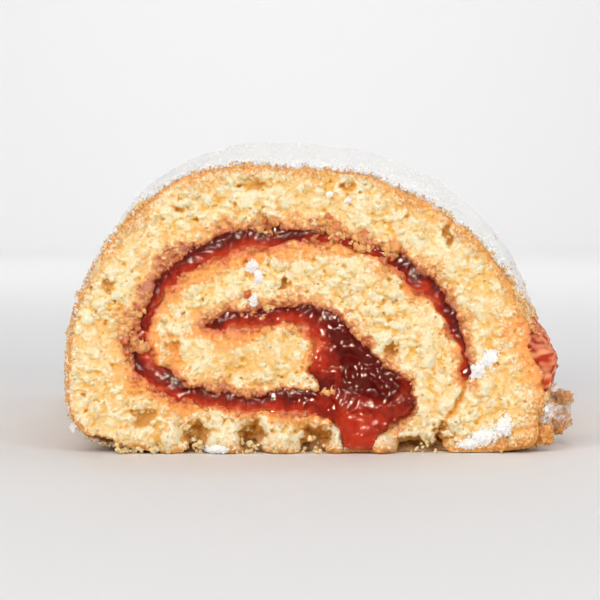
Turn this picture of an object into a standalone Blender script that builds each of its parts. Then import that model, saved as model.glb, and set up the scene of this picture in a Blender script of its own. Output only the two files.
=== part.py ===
"""Jam roly-poly: a rolled sheet of sponge, the jam between its turns, and the jam smeared on its side.

Metres, +Z up. The roll lies along Y and its cut face, which shows the spiral, looks along -Y.
The origin is on the board, under the middle of the roll. A section is worked out with x from the
crown line, z from the board and depth from the cut face, until placed() makes a point of the three.
"""

import math

import bmesh
import bpy
from mathutils import Vector, noise

MM = 0.001

# Roll
LENGTH = 139 * MM
CROWN_X = -10.45 * MM  # the crown stands left of the middle
MIDDLE_DEPTH = 68.9 * MM
WIDEST_Z = 15 * MM  # height at which the roll is widest
HALF_LEFT = 42.6 * MM
HALF_RIGHT = 56.4 * MM
RISE = 44.9 * MM  # from the widest level to the crown
DROP = 15.6 * MM  # from the widest level down; the board cuts it off flat
SHOULDER_LEFT = 2.2  # powers of the four quarter ovals, 2 for an ellipse and more for a squarer one
SHOULDER_RIGHT = 1.9
FOOT_LEFT = 3.6
FOOT_RIGHT = 8.0

# The sponge has sunk at the cut. Over this length behind it each size grows by as much as is given here
SWELL_LENGTH = 42 * MM
SWELL_RIGHT = 1.4 * MM
SWELL_RISE = 3.8 * MM
SWELL_SHOULDER = 0.24  # of the right quarter's power

# Crust
CRUST_WAVES = [(26 * MM, 1.1 * MM), (9 * MM, 0.6 * MM)]  # how far apart its bumps are, and their height
RIM_ROUNDING = 0.5 * MM  # how far the crust turns in at a cut face
RIM_DEPTH = 5 * MM
UNDERCUT = 2.2 * MM  # how far the right foot is curled in at the cut face
UNDERCUT_DEPTH = 9 * MM
UNDERCUT_MIDDLE = (0.86, -0.5)  # its direction from the middle of the section, and its spread round that
UNDERCUT_SPREAD = (0.3, 0.45)

# Jam
JAM_LAYER = 1.9 * MM  # half the thickness of a full layer
JAM_THIN = 1.0 * MM  # and of the last of it, near the seam
JAM_RIPPLE = 0.35 * MM
JAM_PROUD = 0.5 * MM  # how far jam stands out of a cut face, and how much less it does at its edges
JAM_EDGE = 0.9 * MM
POOL_MIDDLE = (16.5 * MM, 14.0 * MM)
POOL_SIZE = 7.4 * MM
POOL_CORNER = 2.4 * MM  # how far its three corners stand out of a circle
POOL_TURNED = math.radians(98)  # direction of the first corner
POOL_LEAN = 2.0 * MM
LEAN_TURNED = math.radians(22)
DRIP_TIP = 0.7 * MM  # the tip of the drip stays just clear of the board
DRIP_RISE = 14.3 * MM
DRIP_HALF = 8.2 * MM
DRIP_THICK = 2.6 * MM
DRIP_ROOT = 1.6 * MM  # how deep it is set into the face

# Gaps
CLEARANCE = 0.3 * MM
SEAM_GAP = 0.3 * MM  # half the slit between the end of the sheet and the turn inside it
CUT_PAST = 12 * MM  # how far a cutter runs past the faces

# Segments
LOAF_CUTS = (33, 18, 22)
FOLD_CUTS = (14, 5, 3)
TURN_CUTS = (56, 5, 3)
POOL_CUTS = (9, 5, 9)
DRIP_CUTS = (7, 2, 8)
SEAM_CUTS = (8, 5, 1)
STATIONS = (3 * MM, SWELL_LENGTH / 2, SWELL_LENGTH, LENGTH - 3 * MM)  # depths of a layer's inner rings

# Colours
CRUMB_COLOUR = (0.91, 0.63, 0.27)
JAM_COLOUR = (0.33, 0.035, 0.018)

# The tables below are in millimetres.

# Forms on the cut face: x, z, half-width, half-height and how far it stands out (or, below zero, in)
FACE_FORMS = [
    (-27.5, 7.0, 3.4, 2.4, -2.6),  # hollows along the foot, where the sponge tore
    (-16.0, 3.0, 2.2, 3.0, -3.2),
    (-4.6, 3.2, 2.6, 3.0, -3.8),
    (8.0, 2.2, 3.6, 2.4, -4.2),
    (29.0, 1.2, 5.0, 1.7, -5.0),
    (34.0, 2.0, 1.4, 2.8, -2.6),
    (-21.6, 5.0, 2.7, 5.0, 1.6),  # the torn sponge that stands between them
    (-10.6, 5.0, 3.5, 5.0, 1.5),
    (1.4, 4.6, 3.2, 4.6, 2.3),
    (-4.2, 36.7, 2.4, 3.2, 1.3),  # clumps of icing sugar
    (42.6, 18.4, 3.0, 2.4, 1.5),
    (44.6, 3.2, 4.4, 3.2, 1.6),
]
CRUMB_WAVES = [(7.0, 1.0), (3.4, 0.6)]  # how far apart the bumps of the torn crumb are, and their height
JAM_WAVE = (4.2, 0.9)
DRIP_WAVE = (3.1, 0.5)

# The jam's fold in the heart of the roll, from its closed end to the pool: x, z and half the thickness
FOLD = [
    (-14.6, 26.4, 1.7),
    (-8.5, 27.3, 1.9),
    (-1.0, 28.2, 2.0),
    (6.0, 28.4, 2.6),
    (11.0, 25.0, 3.9),
    (12.6, 19.5, 5.0),
    (13.5, 14.0, 5.2),
]

# The jam's outer turn leaves the pool along the foot, then follows three quarter ovals round to the seam
RUN_UP = (15.0, -2.0, 10.7, 2.4)  # from x, to x, z and half the thickness
RUN_UP_SHARE = 0.10
TURN_OVALS = [  # the middle, the half-width, the half-height and the power of each
    (-2.0, 23.0, 25.7, 12.3, 2.3),
    (5.0, 23.0, 32.7, 21.9, 2.15),
    (5.0, 16.0, 34.4, 28.9, 1.9),
]

# The seam, where the end of the sheet lies against the turn inside it: x and z, down through the board
SEAM = [(39.4, 17.5), (38.6, 13.0), (36.6, 9.0), (33.8, 5.2), (33.0, 1.0), (33.0, -4.0)]

# Lumps of jam on the right side of the crust: x, z, depth and radius
SMEAR_LUMPS = [
    (52.9, 27.6, 3.2, 2.0),
    (54.0, 24.8, 4.2, 2.4),
    (54.9, 21.6, 3.8, 3.0),
    (55.2, 18.4, 4.6, 3.5),
    (55.4, 15.4, 4.6, 2.9),
    (55.0, 20.0, 8.6, 3.2),
    (55.4, 13.2, 4.4, 2.0),
]

# Torn crust that stands out low on the right side, in the same terms
CRUST_LUMPS = [
    (55.2, 3.8, 3.4, 2.6),
    (55.6, 8.2, 3.8, 2.2),
    (57.6, 6.4, 20.0, 3.2),
    (60.6, 7.6, 22.0, 2.6),
    (60.0, 4.6, 18.6, 2.2),
    (57.6, 8.8, 25.0, 2.8),
    (61.4, 9.6, 19.6, 1.5),
]
LUMP_WAVE = (2.5, 0.25)  # how far apart the dents of a lump are, and their share of its radius


def smooth(value):
    """0 up to value 0, 1 from value 1, and a smooth rise between."""
    t = min(max(value, 0.0), 1.0)
    return t * t * (3 - 2 * t)


def waves(x, y, z, sizes, place=0.0):
    """The sum of smooth bumps of the given spacings and heights, for a place of its own in the pattern."""
    at = Vector((x, y, z))
    return sum(noise.noise(at / apart + Vector((place, place, place))) * height for apart, height in sizes)


def reach_of_oval(across, up, power):
    """How far an oval of unit half-sizes reaches in the direction (across, up), which has unit length."""
    return (abs(across) ** power + abs(up) ** power) ** (-1 / power)


def disc(u, w):
    """Takes the square from -1 to 1 to the unit disc: a direction of unit length and a share of the way."""
    across = u * math.sqrt(1 - w * w / 2)
    up = w * math.sqrt(1 - u * u / 2)
    share = math.hypot(across, up)
    if share < 1e-9:
        return 1.0, 0.0, 0.0
    return across / share, up / share, share


def edge_of_section(across, up, depth):
    """The crust's x, and z above the widest level, in the direction (across, up), which has unit length."""
    swell = smooth(depth / SWELL_LENGTH)
    if across < 0:
        half_width = HALF_LEFT
        shoulder, foot = SHOULDER_LEFT, FOOT_LEFT
    else:
        half_width = HALF_RIGHT + SWELL_RIGHT * swell
        shoulder, foot = SHOULDER_RIGHT + SWELL_SHOULDER * swell, FOOT_RIGHT
    if up < 0:
        half_height, power = DROP, foot
    else:
        half_height, power = RISE + SWELL_RISE * swell, shoulder
    reach = reach_of_oval(across, up, power)
    return half_width * across * reach, half_height * up * reach


def follow_roll(x, z, depth):
    """Where a point of the cut face has got to at this depth, as the roll swells."""
    above = z - WIDEST_Z
    across = x / (HALF_LEFT if x < 0 else HALF_RIGHT)
    up = above / (DROP if above < 0 else RISE)
    size = math.hypot(across, up)
    if size < 1e-9:
        return x, z
    front = edge_of_section(across / size, up / size, 0)
    there = edge_of_section(across / size, up / size, depth)
    x *= there[0] / front[0] if abs(front[0]) > 1e-9 else 1
    above *= there[1] / front[1] if abs(front[1]) > 1e-9 else 1
    return x, WIDEST_Z + above


def placed(x, z, depth):
    return Vector((CROWN_X + x, depth - MIDDLE_DEPTH, z))


def crumb_relief(x, z, face):
    """How far the torn crumb stands out of a cut face: 0 is the front one and 1 the back."""
    x, z = x / MM, z / MM
    relief = waves(x, 40 * face, z, CRUMB_WAVES)
    if face == 0:
        for middle, height, half_width, half_height, out in FACE_FORMS:
            relief += out * smooth(1.35 - math.hypot((x - middle) / half_width, (z - height) / half_height))
    return relief * MM


def loaf_point(u, v, w, extra):
    """A point of the roll without its jam: u and w cross the section, v runs along it, extra swells it."""
    across, up, share = disc(u, w)
    depth = LENGTH * (v + 1) / 2
    x, above = edge_of_section(across, up, depth)
    wobble = waves(x, depth, above, CRUST_WAVES[:1]) + waves(x, depth, above, CRUST_WAVES[1:], 7)
    turned_in = RIM_ROUNDING * (1 - smooth(min(depth, LENGTH - depth) / RIM_DEPTH))
    from_foot = math.hypot(*((a - b) / c for a, b, c in zip((across, up), UNDERCUT_MIDDLE, UNDERCUT_SPREAD)))
    turned_in += UNDERCUT * smooth(1 - from_foot) * (1 - smooth(depth / UNDERCUT_DEPTH))
    grown = 1 + (wobble - turned_in + extra) / math.hypot(x, above)
    x *= grown * share
    z = WIDEST_Z + max(above * grown, -WIDEST_Z - extra) * share
    if v > 0.999:
        depth += crumb_relief(x, z, 1) + extra
    elif v < -0.999:
        depth -= crumb_relief(x, z, 0) + extra
    return placed(x, z, depth)


def route_point(points, share):
    """A point of a smooth curve through the points, at a share from 0 to 1 of the way."""
    place = min(share, 0.999999) * (len(points) - 1)
    step = int(place)
    t = place - step
    before, start, end, after = (points[min(max(step + i, 0), len(points) - 1)] for i in (-1, 0, 1, 2))
    return tuple(
        b + t * (c - a) / 2 + t**2 * (a - 2.5 * b + 2 * c - d / 2) + t**3 * (1.5 * (b - c) + (d - a) / 2)
        for a, b, c, d in zip(before, start, end, after)
    )


def fold_route(share):
    x, z, half = route_point(FOLD, share)
    return x * MM, z * MM, half * MM * math.sqrt(smooth(share * 12 + 0.15))  # rounded at its closed end


def turn_route(share):
    """The outer turn's middle line and half its thickness, from the pool round to the seam."""
    if share < RUN_UP_SHARE:
        start, end, z, half = RUN_UP
        return (start + (end - start) * share / RUN_UP_SHARE) * MM, z * MM, half * MM
    turned = 3 * (share - RUN_UP_SHARE) / (1 - RUN_UP_SHARE)  # in quarters
    angle = math.radians(270 - 90 * turned)
    across, up = math.cos(angle), math.sin(angle)
    middle_x, middle_z, half_width, half_height, power = TURN_OVALS[min(int(turned), 2)]
    reach = reach_of_oval(across, up, power)
    ending = smooth((share - 0.80) / 0.2)
    half = JAM_LAYER + (JAM_THIN - JAM_LAYER) * ending + JAM_RIPPLE * math.sin(23 * share) * (1 - ending)
    return (middle_x + half_width * across * reach) * MM, (middle_z + half_height * up * reach) * MM, half


def seam_route(share):
    x, z = route_point(SEAM, share)
    return x * MM, z * MM, 0.0


def ribbon_point(route, u, v, w, extra):
    """A point of a layer that follows a route across the section and runs the length of the roll."""
    share = (u + 1) / 2
    x, z, half = route(share)
    ahead, behind = route(min(share + 0.004, 1)), route(max(share - 0.004, 0))
    along = Vector((ahead[0] - behind[0], ahead[1] - behind[1])).normalized()
    offset = w * (half + extra)
    longer = extra if share > 0.999 else -extra if share < 0.001 else 0
    x += along.x * longer - along.y * offset
    z += along.y * longer + along.x * offset
    return lengthwise(x, z, v, w, extra)


def pool_point(u, v, w, extra):
    """A point of the pool of jam that the fold and the turn run into: a rounded triangle."""
    across, up, share = disc(u, w)
    angle = math.atan2(up, across)
    reach = POOL_SIZE + POOL_CORNER * math.cos(3 * (angle - POOL_TURNED))
    reach += POOL_LEAN * math.cos(angle + LEAN_TURNED) + extra
    x = POOL_MIDDLE[0] + share * reach * across
    z = POOL_MIDDLE[1] + share * reach * up
    return lengthwise(x, z, v, share, extra, JAM_EDGE)


def lengthwise(x, z, v, rim, extra, proud=0.0):
    """Puts a point of a layer of jam at its depth. The jam bulges at the cut faces; a cutter runs past them.

    rim is 0 in the middle of the layer and 1 at its edges, and proud is how much more its middle bulges.
    """
    if abs(v) > 0.999:
        bulge = waves(x / MM, 60 + 40 * (v > 0), z / MM, [JAM_WAVE]) * MM + JAM_PROUD
        bulge += proud * (1 - rim * rim) - JAM_EDGE * rim * rim
        depth = LENGTH * (v + 1) / 2 + math.copysign(CUT_PAST if extra else bulge, v)
    else:
        depth = STATIONS[round((v + 0.6) / 0.4)]
    x, z = follow_roll(x, z, min(max(depth, 0), LENGTH))
    return placed(x, z, depth)


def drip_point(u, v, w, extra):
    """A point of the jam that has run down the cut face to the board."""
    height = DRIP_TIP + DRIP_RISE * (w + 1) / 2
    half = DRIP_HALF * min(height / (10 * MM), 1) ** 0.6 + extra
    x = (17.0 + 2.6 * smooth(height / (12 * MM))) * MM + u * half
    thick = DRIP_THICK * math.sqrt((1 - 0.85 * u * u) * (1 - 0.8 * abs(w) ** 3))
    thick += waves(x / MM, 0, height / MM, [DRIP_WAVE]) * MM
    front = thick + extra if v < -0.5 else thick / 2 + extra
    return placed(x, height + w * extra, DRIP_ROOT if v > 0 else -front)


def new_object(name, graph, collection):
    """Closes a bmesh as an object, with its faces pointing out."""
    bmesh.ops.recalc_face_normals(graph, faces=graph.faces)
    mesh = bpy.data.meshes.new(name)
    graph.to_mesh(mesh)
    graph.free()
    made = bpy.data.objects.new(name, mesh)
    collection.objects.link(made)
    return made


def block(name, cuts, shape, collection):
    """A cube cut into a grid on every side, whose points shape(u, v, w), each from -1 to 1, then places."""
    graph = bmesh.new()
    bmesh.ops.create_cube(graph, size=2)
    for axis, count in enumerate(cuts):
        along = [e for e in graph.edges if abs(e.verts[0].co[axis] - e.verts[1].co[axis]) > 1e-6]
        if count > 1:
            bmesh.ops.subdivide_edges(graph, edges=along, cuts=count - 1, use_grid_fill=True)
    for vertex in graph.verts:
        vertex.co = shape(*vertex.co)
    return new_object(name, graph, collection)


def lumps(name, sizes, collection):
    """One dented icosphere for each lump."""
    made = []
    for number, (x, z, depth, radius) in enumerate(sizes):
        graph = bmesh.new()
        bmesh.ops.create_icosphere(graph, subdivisions=2, radius=radius * MM)
        middle = placed(*follow_roll(x * MM, z * MM, depth * MM), depth * MM)
        for vertex in graph.verts:
            vertex.co = middle + vertex.co * (1 + waves(*(vertex.co / MM), [LUMP_WAVE], number))
        made.append(new_object(f"{name}_{number}", graph, collection))
    return made


def apply_boolean(target, operation, others):
    """Joins or cuts with a collection of objects, applies it and removes them."""
    operands = bpy.data.collections.new(f"{target.name}_{operation.lower()}")
    bpy.context.scene.collection.children.link(operands)
    for other in others:
        for holder in other.users_collection:
            holder.objects.unlink(other)
        operands.objects.link(other)
    modifier = target.modifiers.new(operation.title(), "BOOLEAN")
    modifier.operation = operation
    modifier.operand_type = "COLLECTION"
    modifier.collection = operands
    modifier.solver = "EXACT"
    bpy.context.view_layer.update()
    done = target.evaluated_get(bpy.context.evaluated_depsgraph_get())
    mesh = bpy.data.meshes.new_from_object(done)
    target.modifiers.clear()
    target.data = mesh
    for other in others:
        bpy.data.objects.remove(other)
    bpy.data.collections.remove(operands)


def jam_bodies(extra, collection):
    """The outer turn, the fold, the pool and the drip, which overlap and are then joined."""
    tag = "cut" if extra else "jam"
    return [
        block(f"{tag}_turn", TURN_CUTS, lambda u, v, w: ribbon_point(turn_route, u, v, w, extra), collection),
        block(f"{tag}_fold", FOLD_CUTS, lambda u, v, w: ribbon_point(fold_route, u, v, w, extra), collection),
        block(f"{tag}_pool", POOL_CUTS, lambda u, v, w: pool_point(u, v, w, extra), collection),
        block(f"{tag}_drip", DRIP_CUTS, lambda u, v, w: drip_point(u, v, w, extra), collection),
    ]


def loaf(name, extra, collection):
    """The whole roll, swollen by extra. Its grid's middle lines lie at the crown and the widest level."""

    def spread(share, part):
        """Moves the grid's middle line, so that this part of its cells lies below 0."""
        place = (share + 1) / 2
        return place / part - 1 if place < part else (place - part) / (1 - part)

    def shape(u, v, w):
        return loaf_point(spread(u, left), v, spread(w, below), extra)

    left = HALF_LEFT / (HALF_LEFT + HALF_RIGHT)
    below = WIDEST_Z / (WIDEST_Z + RISE)
    return block(name, LOAF_CUTS, shape, collection)


def make_sponge(collection):
    """The rolled sheet: the roll and its torn crust, less the jam and the seam."""
    sponge = loaf("sponge", 0, collection)
    apply_boolean(sponge, "UNION", lumps("crust", CRUST_LUMPS, collection))
    seam = block("seam", SEAM_CUTS, lambda u, v, w: ribbon_point(seam_route, u, v, w, SEAM_GAP), collection)
    apply_boolean(sponge, "DIFFERENCE", [*jam_bodies(CLEARANCE, collection), seam])
    return sponge


def make_jam(collection):
    jam, *others = jam_bodies(0, collection)
    apply_boolean(jam, "UNION", others)
    jam.name = "jam"
    return jam


def make_smear(collection):
    """The jam that has been squeezed out on the right side, lying on the crust."""
    smear, *others = lumps("smear", SMEAR_LUMPS, collection)
    apply_boolean(smear, "UNION", others)
    apply_boolean(smear, "DIFFERENCE", [loaf("swollen", CLEARANCE, collection)])
    smear.name = "jam_smear"
    return smear


def material(name, colour, roughness):
    made = bpy.data.materials.new(name)
    made.use_nodes = True
    shader = made.node_tree.nodes["Principled BSDF"]
    shader.inputs["Base Color"].default_value = (*colour, 1)
    shader.inputs["Roughness"].default_value = roughness
    shader.inputs["Metallic"].default_value = 0.0
    return made


def main():
    for old in list(bpy.data.objects):
        bpy.data.objects.remove(old)
    collection = bpy.data.collections.new("jam_roly_poly")
    bpy.context.scene.collection.children.link(collection)
    crumb = material("crumb", CRUMB_COLOUR, 0.9)
    jam = material("jam", JAM_COLOUR, 0.2)
    for make, finish in ((make_sponge, crumb), (make_jam, jam), (make_smear, jam)):
        piece = make(collection)
        piece.data.materials.clear()
        piece.data.materials.append(finish)


main()
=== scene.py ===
import itertools
import math

import bmesh
import bpy
import numpy as np
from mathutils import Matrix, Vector


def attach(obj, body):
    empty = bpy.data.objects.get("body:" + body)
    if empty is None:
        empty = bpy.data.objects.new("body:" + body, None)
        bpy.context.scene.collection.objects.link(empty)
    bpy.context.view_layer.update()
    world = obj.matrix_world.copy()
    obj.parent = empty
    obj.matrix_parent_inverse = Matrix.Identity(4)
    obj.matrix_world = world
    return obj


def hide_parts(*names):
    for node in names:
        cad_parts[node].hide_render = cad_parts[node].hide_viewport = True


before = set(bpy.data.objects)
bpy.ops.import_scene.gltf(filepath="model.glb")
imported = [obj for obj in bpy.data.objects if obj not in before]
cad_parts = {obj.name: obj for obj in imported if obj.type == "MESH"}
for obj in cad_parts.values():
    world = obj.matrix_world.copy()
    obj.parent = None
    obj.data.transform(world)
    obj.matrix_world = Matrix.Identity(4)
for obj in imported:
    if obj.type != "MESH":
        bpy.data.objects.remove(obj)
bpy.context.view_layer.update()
print("frame loaded")

# Sizes are in millimetres until a mesh is made. A section has x from the crown line and z from the board,
# and depth runs back from the cut face.
mm = 0.001

roll = {
    "length": 139.0,
    "crownX": -10.45,       # where the crown line stands in the frame
    "middleDepth": 68.9,    # depth of the frame's origin
    "widestZ": 15.0,
    "halfLeft": 42.6,
    "halfRight": 56.4,
    "rise": 44.9,
    "drop": 15.6,
    "shoulderLeft": 2.2,    # powers of the quarter ovals
    "shoulderRight": 1.9,
    "footLeft": 3.6,
    "footRight": 8.0,
    "swellLength": 42.0,    # the sponge swells over this length behind the cut
    "swellRight": 1.4,
    "swellRise": 3.8,
    "swellShoulder": 0.24,
    "rimRounding": 0.5,
    "rimDepth": 5.0,
    "flankRounding": 1.3,   # how much more the rim turns in on the right flank
    "undercut": 2.2,        # the right foot is curled in at the cut
    "undercutDepth": 9.0,
    "waves": [(26.0, 1.1), (9.0, 0.6)],
}


# numbers that vary over space
noiseSource = np.random.default_rng(11)
shuffled = noiseSource.permutation(256)
directions = noiseSource.normal(size=(256, 3))
directions /= np.linalg.norm(directions, axis=1)[:, None]
cellPoints = noiseSource.random((256, 4))


def smooth(value):
    # 3t^2 - 2t^3 of the value held between 0 and 1
    t = np.clip(value, 0.0, 1.0)
    return t * t * (3 - 2 * t)


def mix(low, high, share):
    return low + (high - low) * share


def cornerHash(i, j, k):
    return shuffled[(shuffled[(shuffled[i & 255] + j) & 255] + k) & 255]


def softNoise(x, y, z):
    # gradient noise: each corner of the unit grid has a direction; its dot products with the way to the
    # point are blended by 6t^5 - 15t^4 + 10t^3. About -1 to 1
    x, y, z = np.broadcast_arrays(x, y, z)
    cells = [np.floor(a).astype(int) for a in (x, y, z)]
    parts = [a - c for a, c in zip((x, y, z), cells)]
    blends = [t**3 * (t * (6 * t - 15) + 10) for t in parts]
    total = 0.0
    for corner in itertools.product((0, 1), repeat=3):
        way = directions[cornerHash(*(c + s for c, s in zip(cells, corner)))]
        weight = 1.0
        for blend, step in zip(blends, corner):
            weight = weight * (blend if step else 1 - blend)
        total = total + weight * sum(way[..., n] * (parts[n] - corner[n]) for n in range(3))
    return total * 1.7


def waves(x, y, z, sizes):
    # sum of soft noise of each spacing and height, each layer in a place of its own
    return sum(softNoise(x / a + 7.3 * n, y / a + 3.1 * n, z / a) * h for n, (a, h) in enumerate(sizes))


def cellNoise(x, y, z, place=0):
    # a point sits in each unit cell: distance to the nearest, to the second nearest, and the nearest's number
    x, y, z = np.broadcast_arrays(x, y, z)
    cells = [np.floor(a).astype(int) for a in (x, y, z)]
    parts = [a - c for a, c in zip((x, y, z), cells)]
    near = np.full(x.shape, 9.0)
    second = np.full(x.shape, 9.0)
    number = np.zeros(x.shape)
    for steps in itertools.product((-1, 0, 1), repeat=3):
        own = cellPoints[cornerHash(*(c + s + place for c, s in zip(cells, steps)))]
        away = sum((own[..., n] + steps[n] - parts[n]) ** 2 for n in range(3))
        closer = away < near
        second = np.where(closer, near, np.minimum(second, away))
        number = np.where(closer, own[..., 3], number)
        near = np.where(closer, away, near)
    return np.sqrt(near), np.sqrt(second), number


def stirred(x, z, first, second, sizes):
    # places of the section moved about by two sets of waves
    return x + waves(x, first, z, sizes), z + waves(x, second, z, sizes)


def addPlaces(values, x, z, table, edge):
    # for each place of a table, adds its last number times smooth(edge - distance / radius)
    for middle, height, radius, much in table:
        values = values + much * smooth(edge - np.hypot(x - middle, z - height) / radius)
    return values


def clumps(x, y, z, size, place=0):
    # rounded lumps of the given size with creases between them, about -0.5 to 0.5
    near, second, _ = cellNoise(x / size, y / size, z / size, place)
    return smooth((second - near) * 1.6) * 0.6 + (0.55 - near) * 0.9 - 0.25


def pores(x, y, z, spacing, radius, share, place=0):
    # round hollows, one in a share of the cells: 1 in the middle of a hollow and 0 outside
    near, _, number = cellNoise(x / spacing, y / spacing, z / spacing, place)
    reach = radius * (0.55 + 0.9 * (number / share)) / spacing
    return np.where(number < share, smooth(1.0 - near / reach), 0.0)


def blur(image, sigma):
    # Gaussian blur of a lattice, by multiplying its transform by exp(-2 (pi sigma f)^2)
    pad = int(3 * sigma) + 2
    wide = np.pad(image, pad, mode="edge")
    fx = np.fft.fftfreq(wide.shape[0])[:, None]
    fz = np.fft.rfftfreq(wide.shape[1])[None, :]
    damped = np.exp(-2 * (np.pi * sigma) ** 2 * (fx**2 + fz**2))
    return np.fft.irfft2(np.fft.rfft2(wide) * damped, wide.shape)[pad:-pad, pad:-pad]


def edgeOfSection(across, up, depth):
    # a quarter oval in each quadrant: half size times direction over (|across|^p + |up|^p)^(1/p)
    swell = smooth(depth / roll["swellLength"])
    left, below = across < 0, up < 0
    halfRight = roll["halfRight"] + roll["swellRight"] * swell
    halfWidth = np.where(left, roll["halfLeft"], halfRight)
    halfHeight = np.where(below, roll["drop"], roll["rise"] + roll["swellRise"] * swell)
    shoulder = np.where(left, roll["shoulderLeft"], roll["shoulderRight"] + roll["swellShoulder"] * swell)
    power = np.where(below, np.where(left, roll["footLeft"], roll["footRight"]), shoulder)
    reach = (np.abs(across) ** power + np.abs(up) ** power) ** (-1 / power)
    return halfWidth * across * reach, halfHeight * up * reach


def crustEdge(across, up, depth):
    # the edge of the section with the crust's waves, its rounded rims and the curled-in right foot
    x, above = edgeOfSection(across, up, depth)
    wobble = waves(x, depth, above, roll["waves"])
    fromEnd = np.minimum(depth, roll["length"] - depth)
    onFlank = np.exp(-((up - 0.36) / 0.22) ** 2) * (across > 0)
    rounding = roll["rimRounding"] + roll["flankRounding"] * onFlank
    turnedIn = rounding * (1 - smooth(fromEnd / roll["rimDepth"]))
    fromFoot = np.hypot((across - 0.86) / 0.3, (up + 0.5) / 0.45)
    curledIn = roll["undercut"] * smooth(1 - fromFoot) * (1 - smooth(depth / roll["undercutDepth"]))
    grown = 1 + (wobble - (turnedIn + curledIn)) / np.hypot(x, above)
    return x * grown, above * grown


def directionInSection(x, z):
    # the direction of a point of the cut face from the middle, in half sizes, and its share of the way out
    above = z - roll["widestZ"]
    across = x / np.where(x < 0, roll["halfLeft"], roll["halfRight"])
    up = above / np.where(above < 0, roll["drop"], roll["rise"])
    size = np.hypot(across, up)
    apart = np.maximum(size, 1e-6)
    across, up = np.where(size > 1e-6, across / apart, 1.0), up / apart
    edgeX, edgeUp = edgeOfSection(across, up, 0.0)
    return across, up, np.hypot(x, above) / np.hypot(edgeX, edgeUp)


def followRoll(x, z, depth):
    # where a point of the cut face has got to at this depth, as the roll swells
    across, up, share = directionInSection(x, z)
    thereX, thereUp = edgeOfSection(across, up, np.clip(depth, 0.0, roll["length"]))
    return thereX * share, roll["widestZ"] + thereUp * share


def inFrame(x, z, depth):
    return np.stack([x + roll["crownX"], depth - roll["middleDepth"], z], axis=-1) * mm


# the spiral of jam, on the cut face
jamShape = {
    "layer": 1.9,           # half the thickness of a full layer, and of its end near the seam
    "thin": 1.0,
    "ripple": 0.35,
    "glowing": 0.5,         # how much narrower the jam is on the side where it glows through the sponge
    "crumbled": 0.8,        # and on its dark side, where crumbs cover it
    "thinned": [            # x, z, radius and how much narrower it is there
        (14.0, 43.0, 11.0, 0.65),
        (-27.0, 28.0, 6.0, 0.55),
    ],
    "runUp": (15.0, -2.0, 10.7, 2.4),
    "runUpShare": 0.10,
    "ovals": [              # middle, half sizes and power of the three quarter ovals of the outer turn
        (-2.0, 23.0, 25.7, 12.3, 2.3),
        (5.0, 23.0, 32.7, 21.9, 2.15),
        (5.0, 16.0, 34.4, 28.9, 1.9),
    ],
    "fold": [               # x, z and half the thickness, from the closed end to the pool
        (-14.6, 26.4, 1.7),
        (-8.5, 27.3, 1.9),
        (-1.0, 28.2, 2.0),
        (6.0, 28.4, 2.6),
        (11.0, 25.0, 3.9),
        (12.6, 19.5, 5.0),
        (13.5, 14.0, 5.2),
    ],
    "poolMiddle": (16.5, 14.0),
    "poolSize": 7.4,
    "poolCorner": 2.4,
    "poolTurned": math.radians(98),
    "poolLean": 2.0,
    "leanTurned": math.radians(22),
    "seam": [(39.4, 17.5), (38.6, 13.0), (36.6, 9.0), (33.8, 5.2), (33.0, 1.0), (33.0, -4.0)],
    "dripTop": 15.0,
    "dripHalf": 8.2,
    "ragged": [(3.4, 0.9), (1.5, 0.5), (0.7, 0.22)],    # spacing and height of the waves of its outline
}


def curveThrough(points, count):
    # Catmull-Rom curve: cubic pieces whose slope at each point is half the way between its neighbours
    points = np.array(points, float)
    place = np.linspace(0, len(points) - 1.000001, count)
    step = place.astype(int)
    t = (place - step)[:, None]
    a, b, c, d = (points[np.clip(step + n, 0, len(points) - 1)] for n in (-1, 0, 1, 2))
    return b + t * (c - a) / 2 + t**2 * (a - 2.5 * b + 2 * c - d / 2) + t**3 * (1.5 * (b - c) + (d - a) / 2)


def turnRoute(count):
    # x, z and half thickness along the outer turn: a straight run, then three quarter ovals
    share = np.linspace(0, 1, count)
    start, end, runZ, runHalf = jamShape["runUp"]
    before = share < jamShape["runUpShare"]
    turned = np.clip(3 * (share - jamShape["runUpShare"]) / (1 - jamShape["runUpShare"]), 0, 3)
    angle = np.radians(270 - 90 * turned)
    across, up = np.cos(angle), np.sin(angle)
    oval = np.array(jamShape["ovals"])[np.minimum(turned.astype(int), 2)]
    reach = (np.abs(across) ** oval[:, 4] + np.abs(up) ** oval[:, 4]) ** (-1 / oval[:, 4])
    ending = smooth((share - 0.80) / 0.2)
    ripple = jamShape["ripple"] * np.sin(23 * share) * (1 - ending)
    half = mix(jamShape["layer"], jamShape["thin"], ending) + ripple
    straight = start + (end - start) * share / jamShape["runUpShare"]
    x = np.where(before, straight, oval[:, 0] + oval[:, 2] * across * reach)
    z = np.where(before, runZ, oval[:, 1] + oval[:, 3] * up * reach)
    return np.stack([x, z, np.where(before, runHalf, half)], axis=1)


def awayFromRoute(x, z, route):
    # distance to the nearest point of the route less its half thickness, its share of the way, and the
    # share across: 0 on the route, 1 at the outer edge of its thickness and -1 at the inner one
    tangent = np.gradient(route[:, :2], axis=0)
    best = np.full(x.shape, 1e9)
    nearest = np.zeros(x.shape, int)
    for number, (px, pz, half) in enumerate(route):
        away = (x - px) ** 2 + (z - pz) ** 2
        closer = away < best
        best = np.where(closer, away, best)
        nearest = np.where(closer, number, nearest)
    at, along = route[nearest], tangent[nearest]
    side = np.sign(along[..., 0] * (z - at[..., 1]) - along[..., 1] * (x - at[..., 0]))
    distance = np.sqrt(best)
    return distance - at[..., 2], nearest / (len(route) - 1), side * distance / np.maximum(at[..., 2], 0.5)


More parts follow.
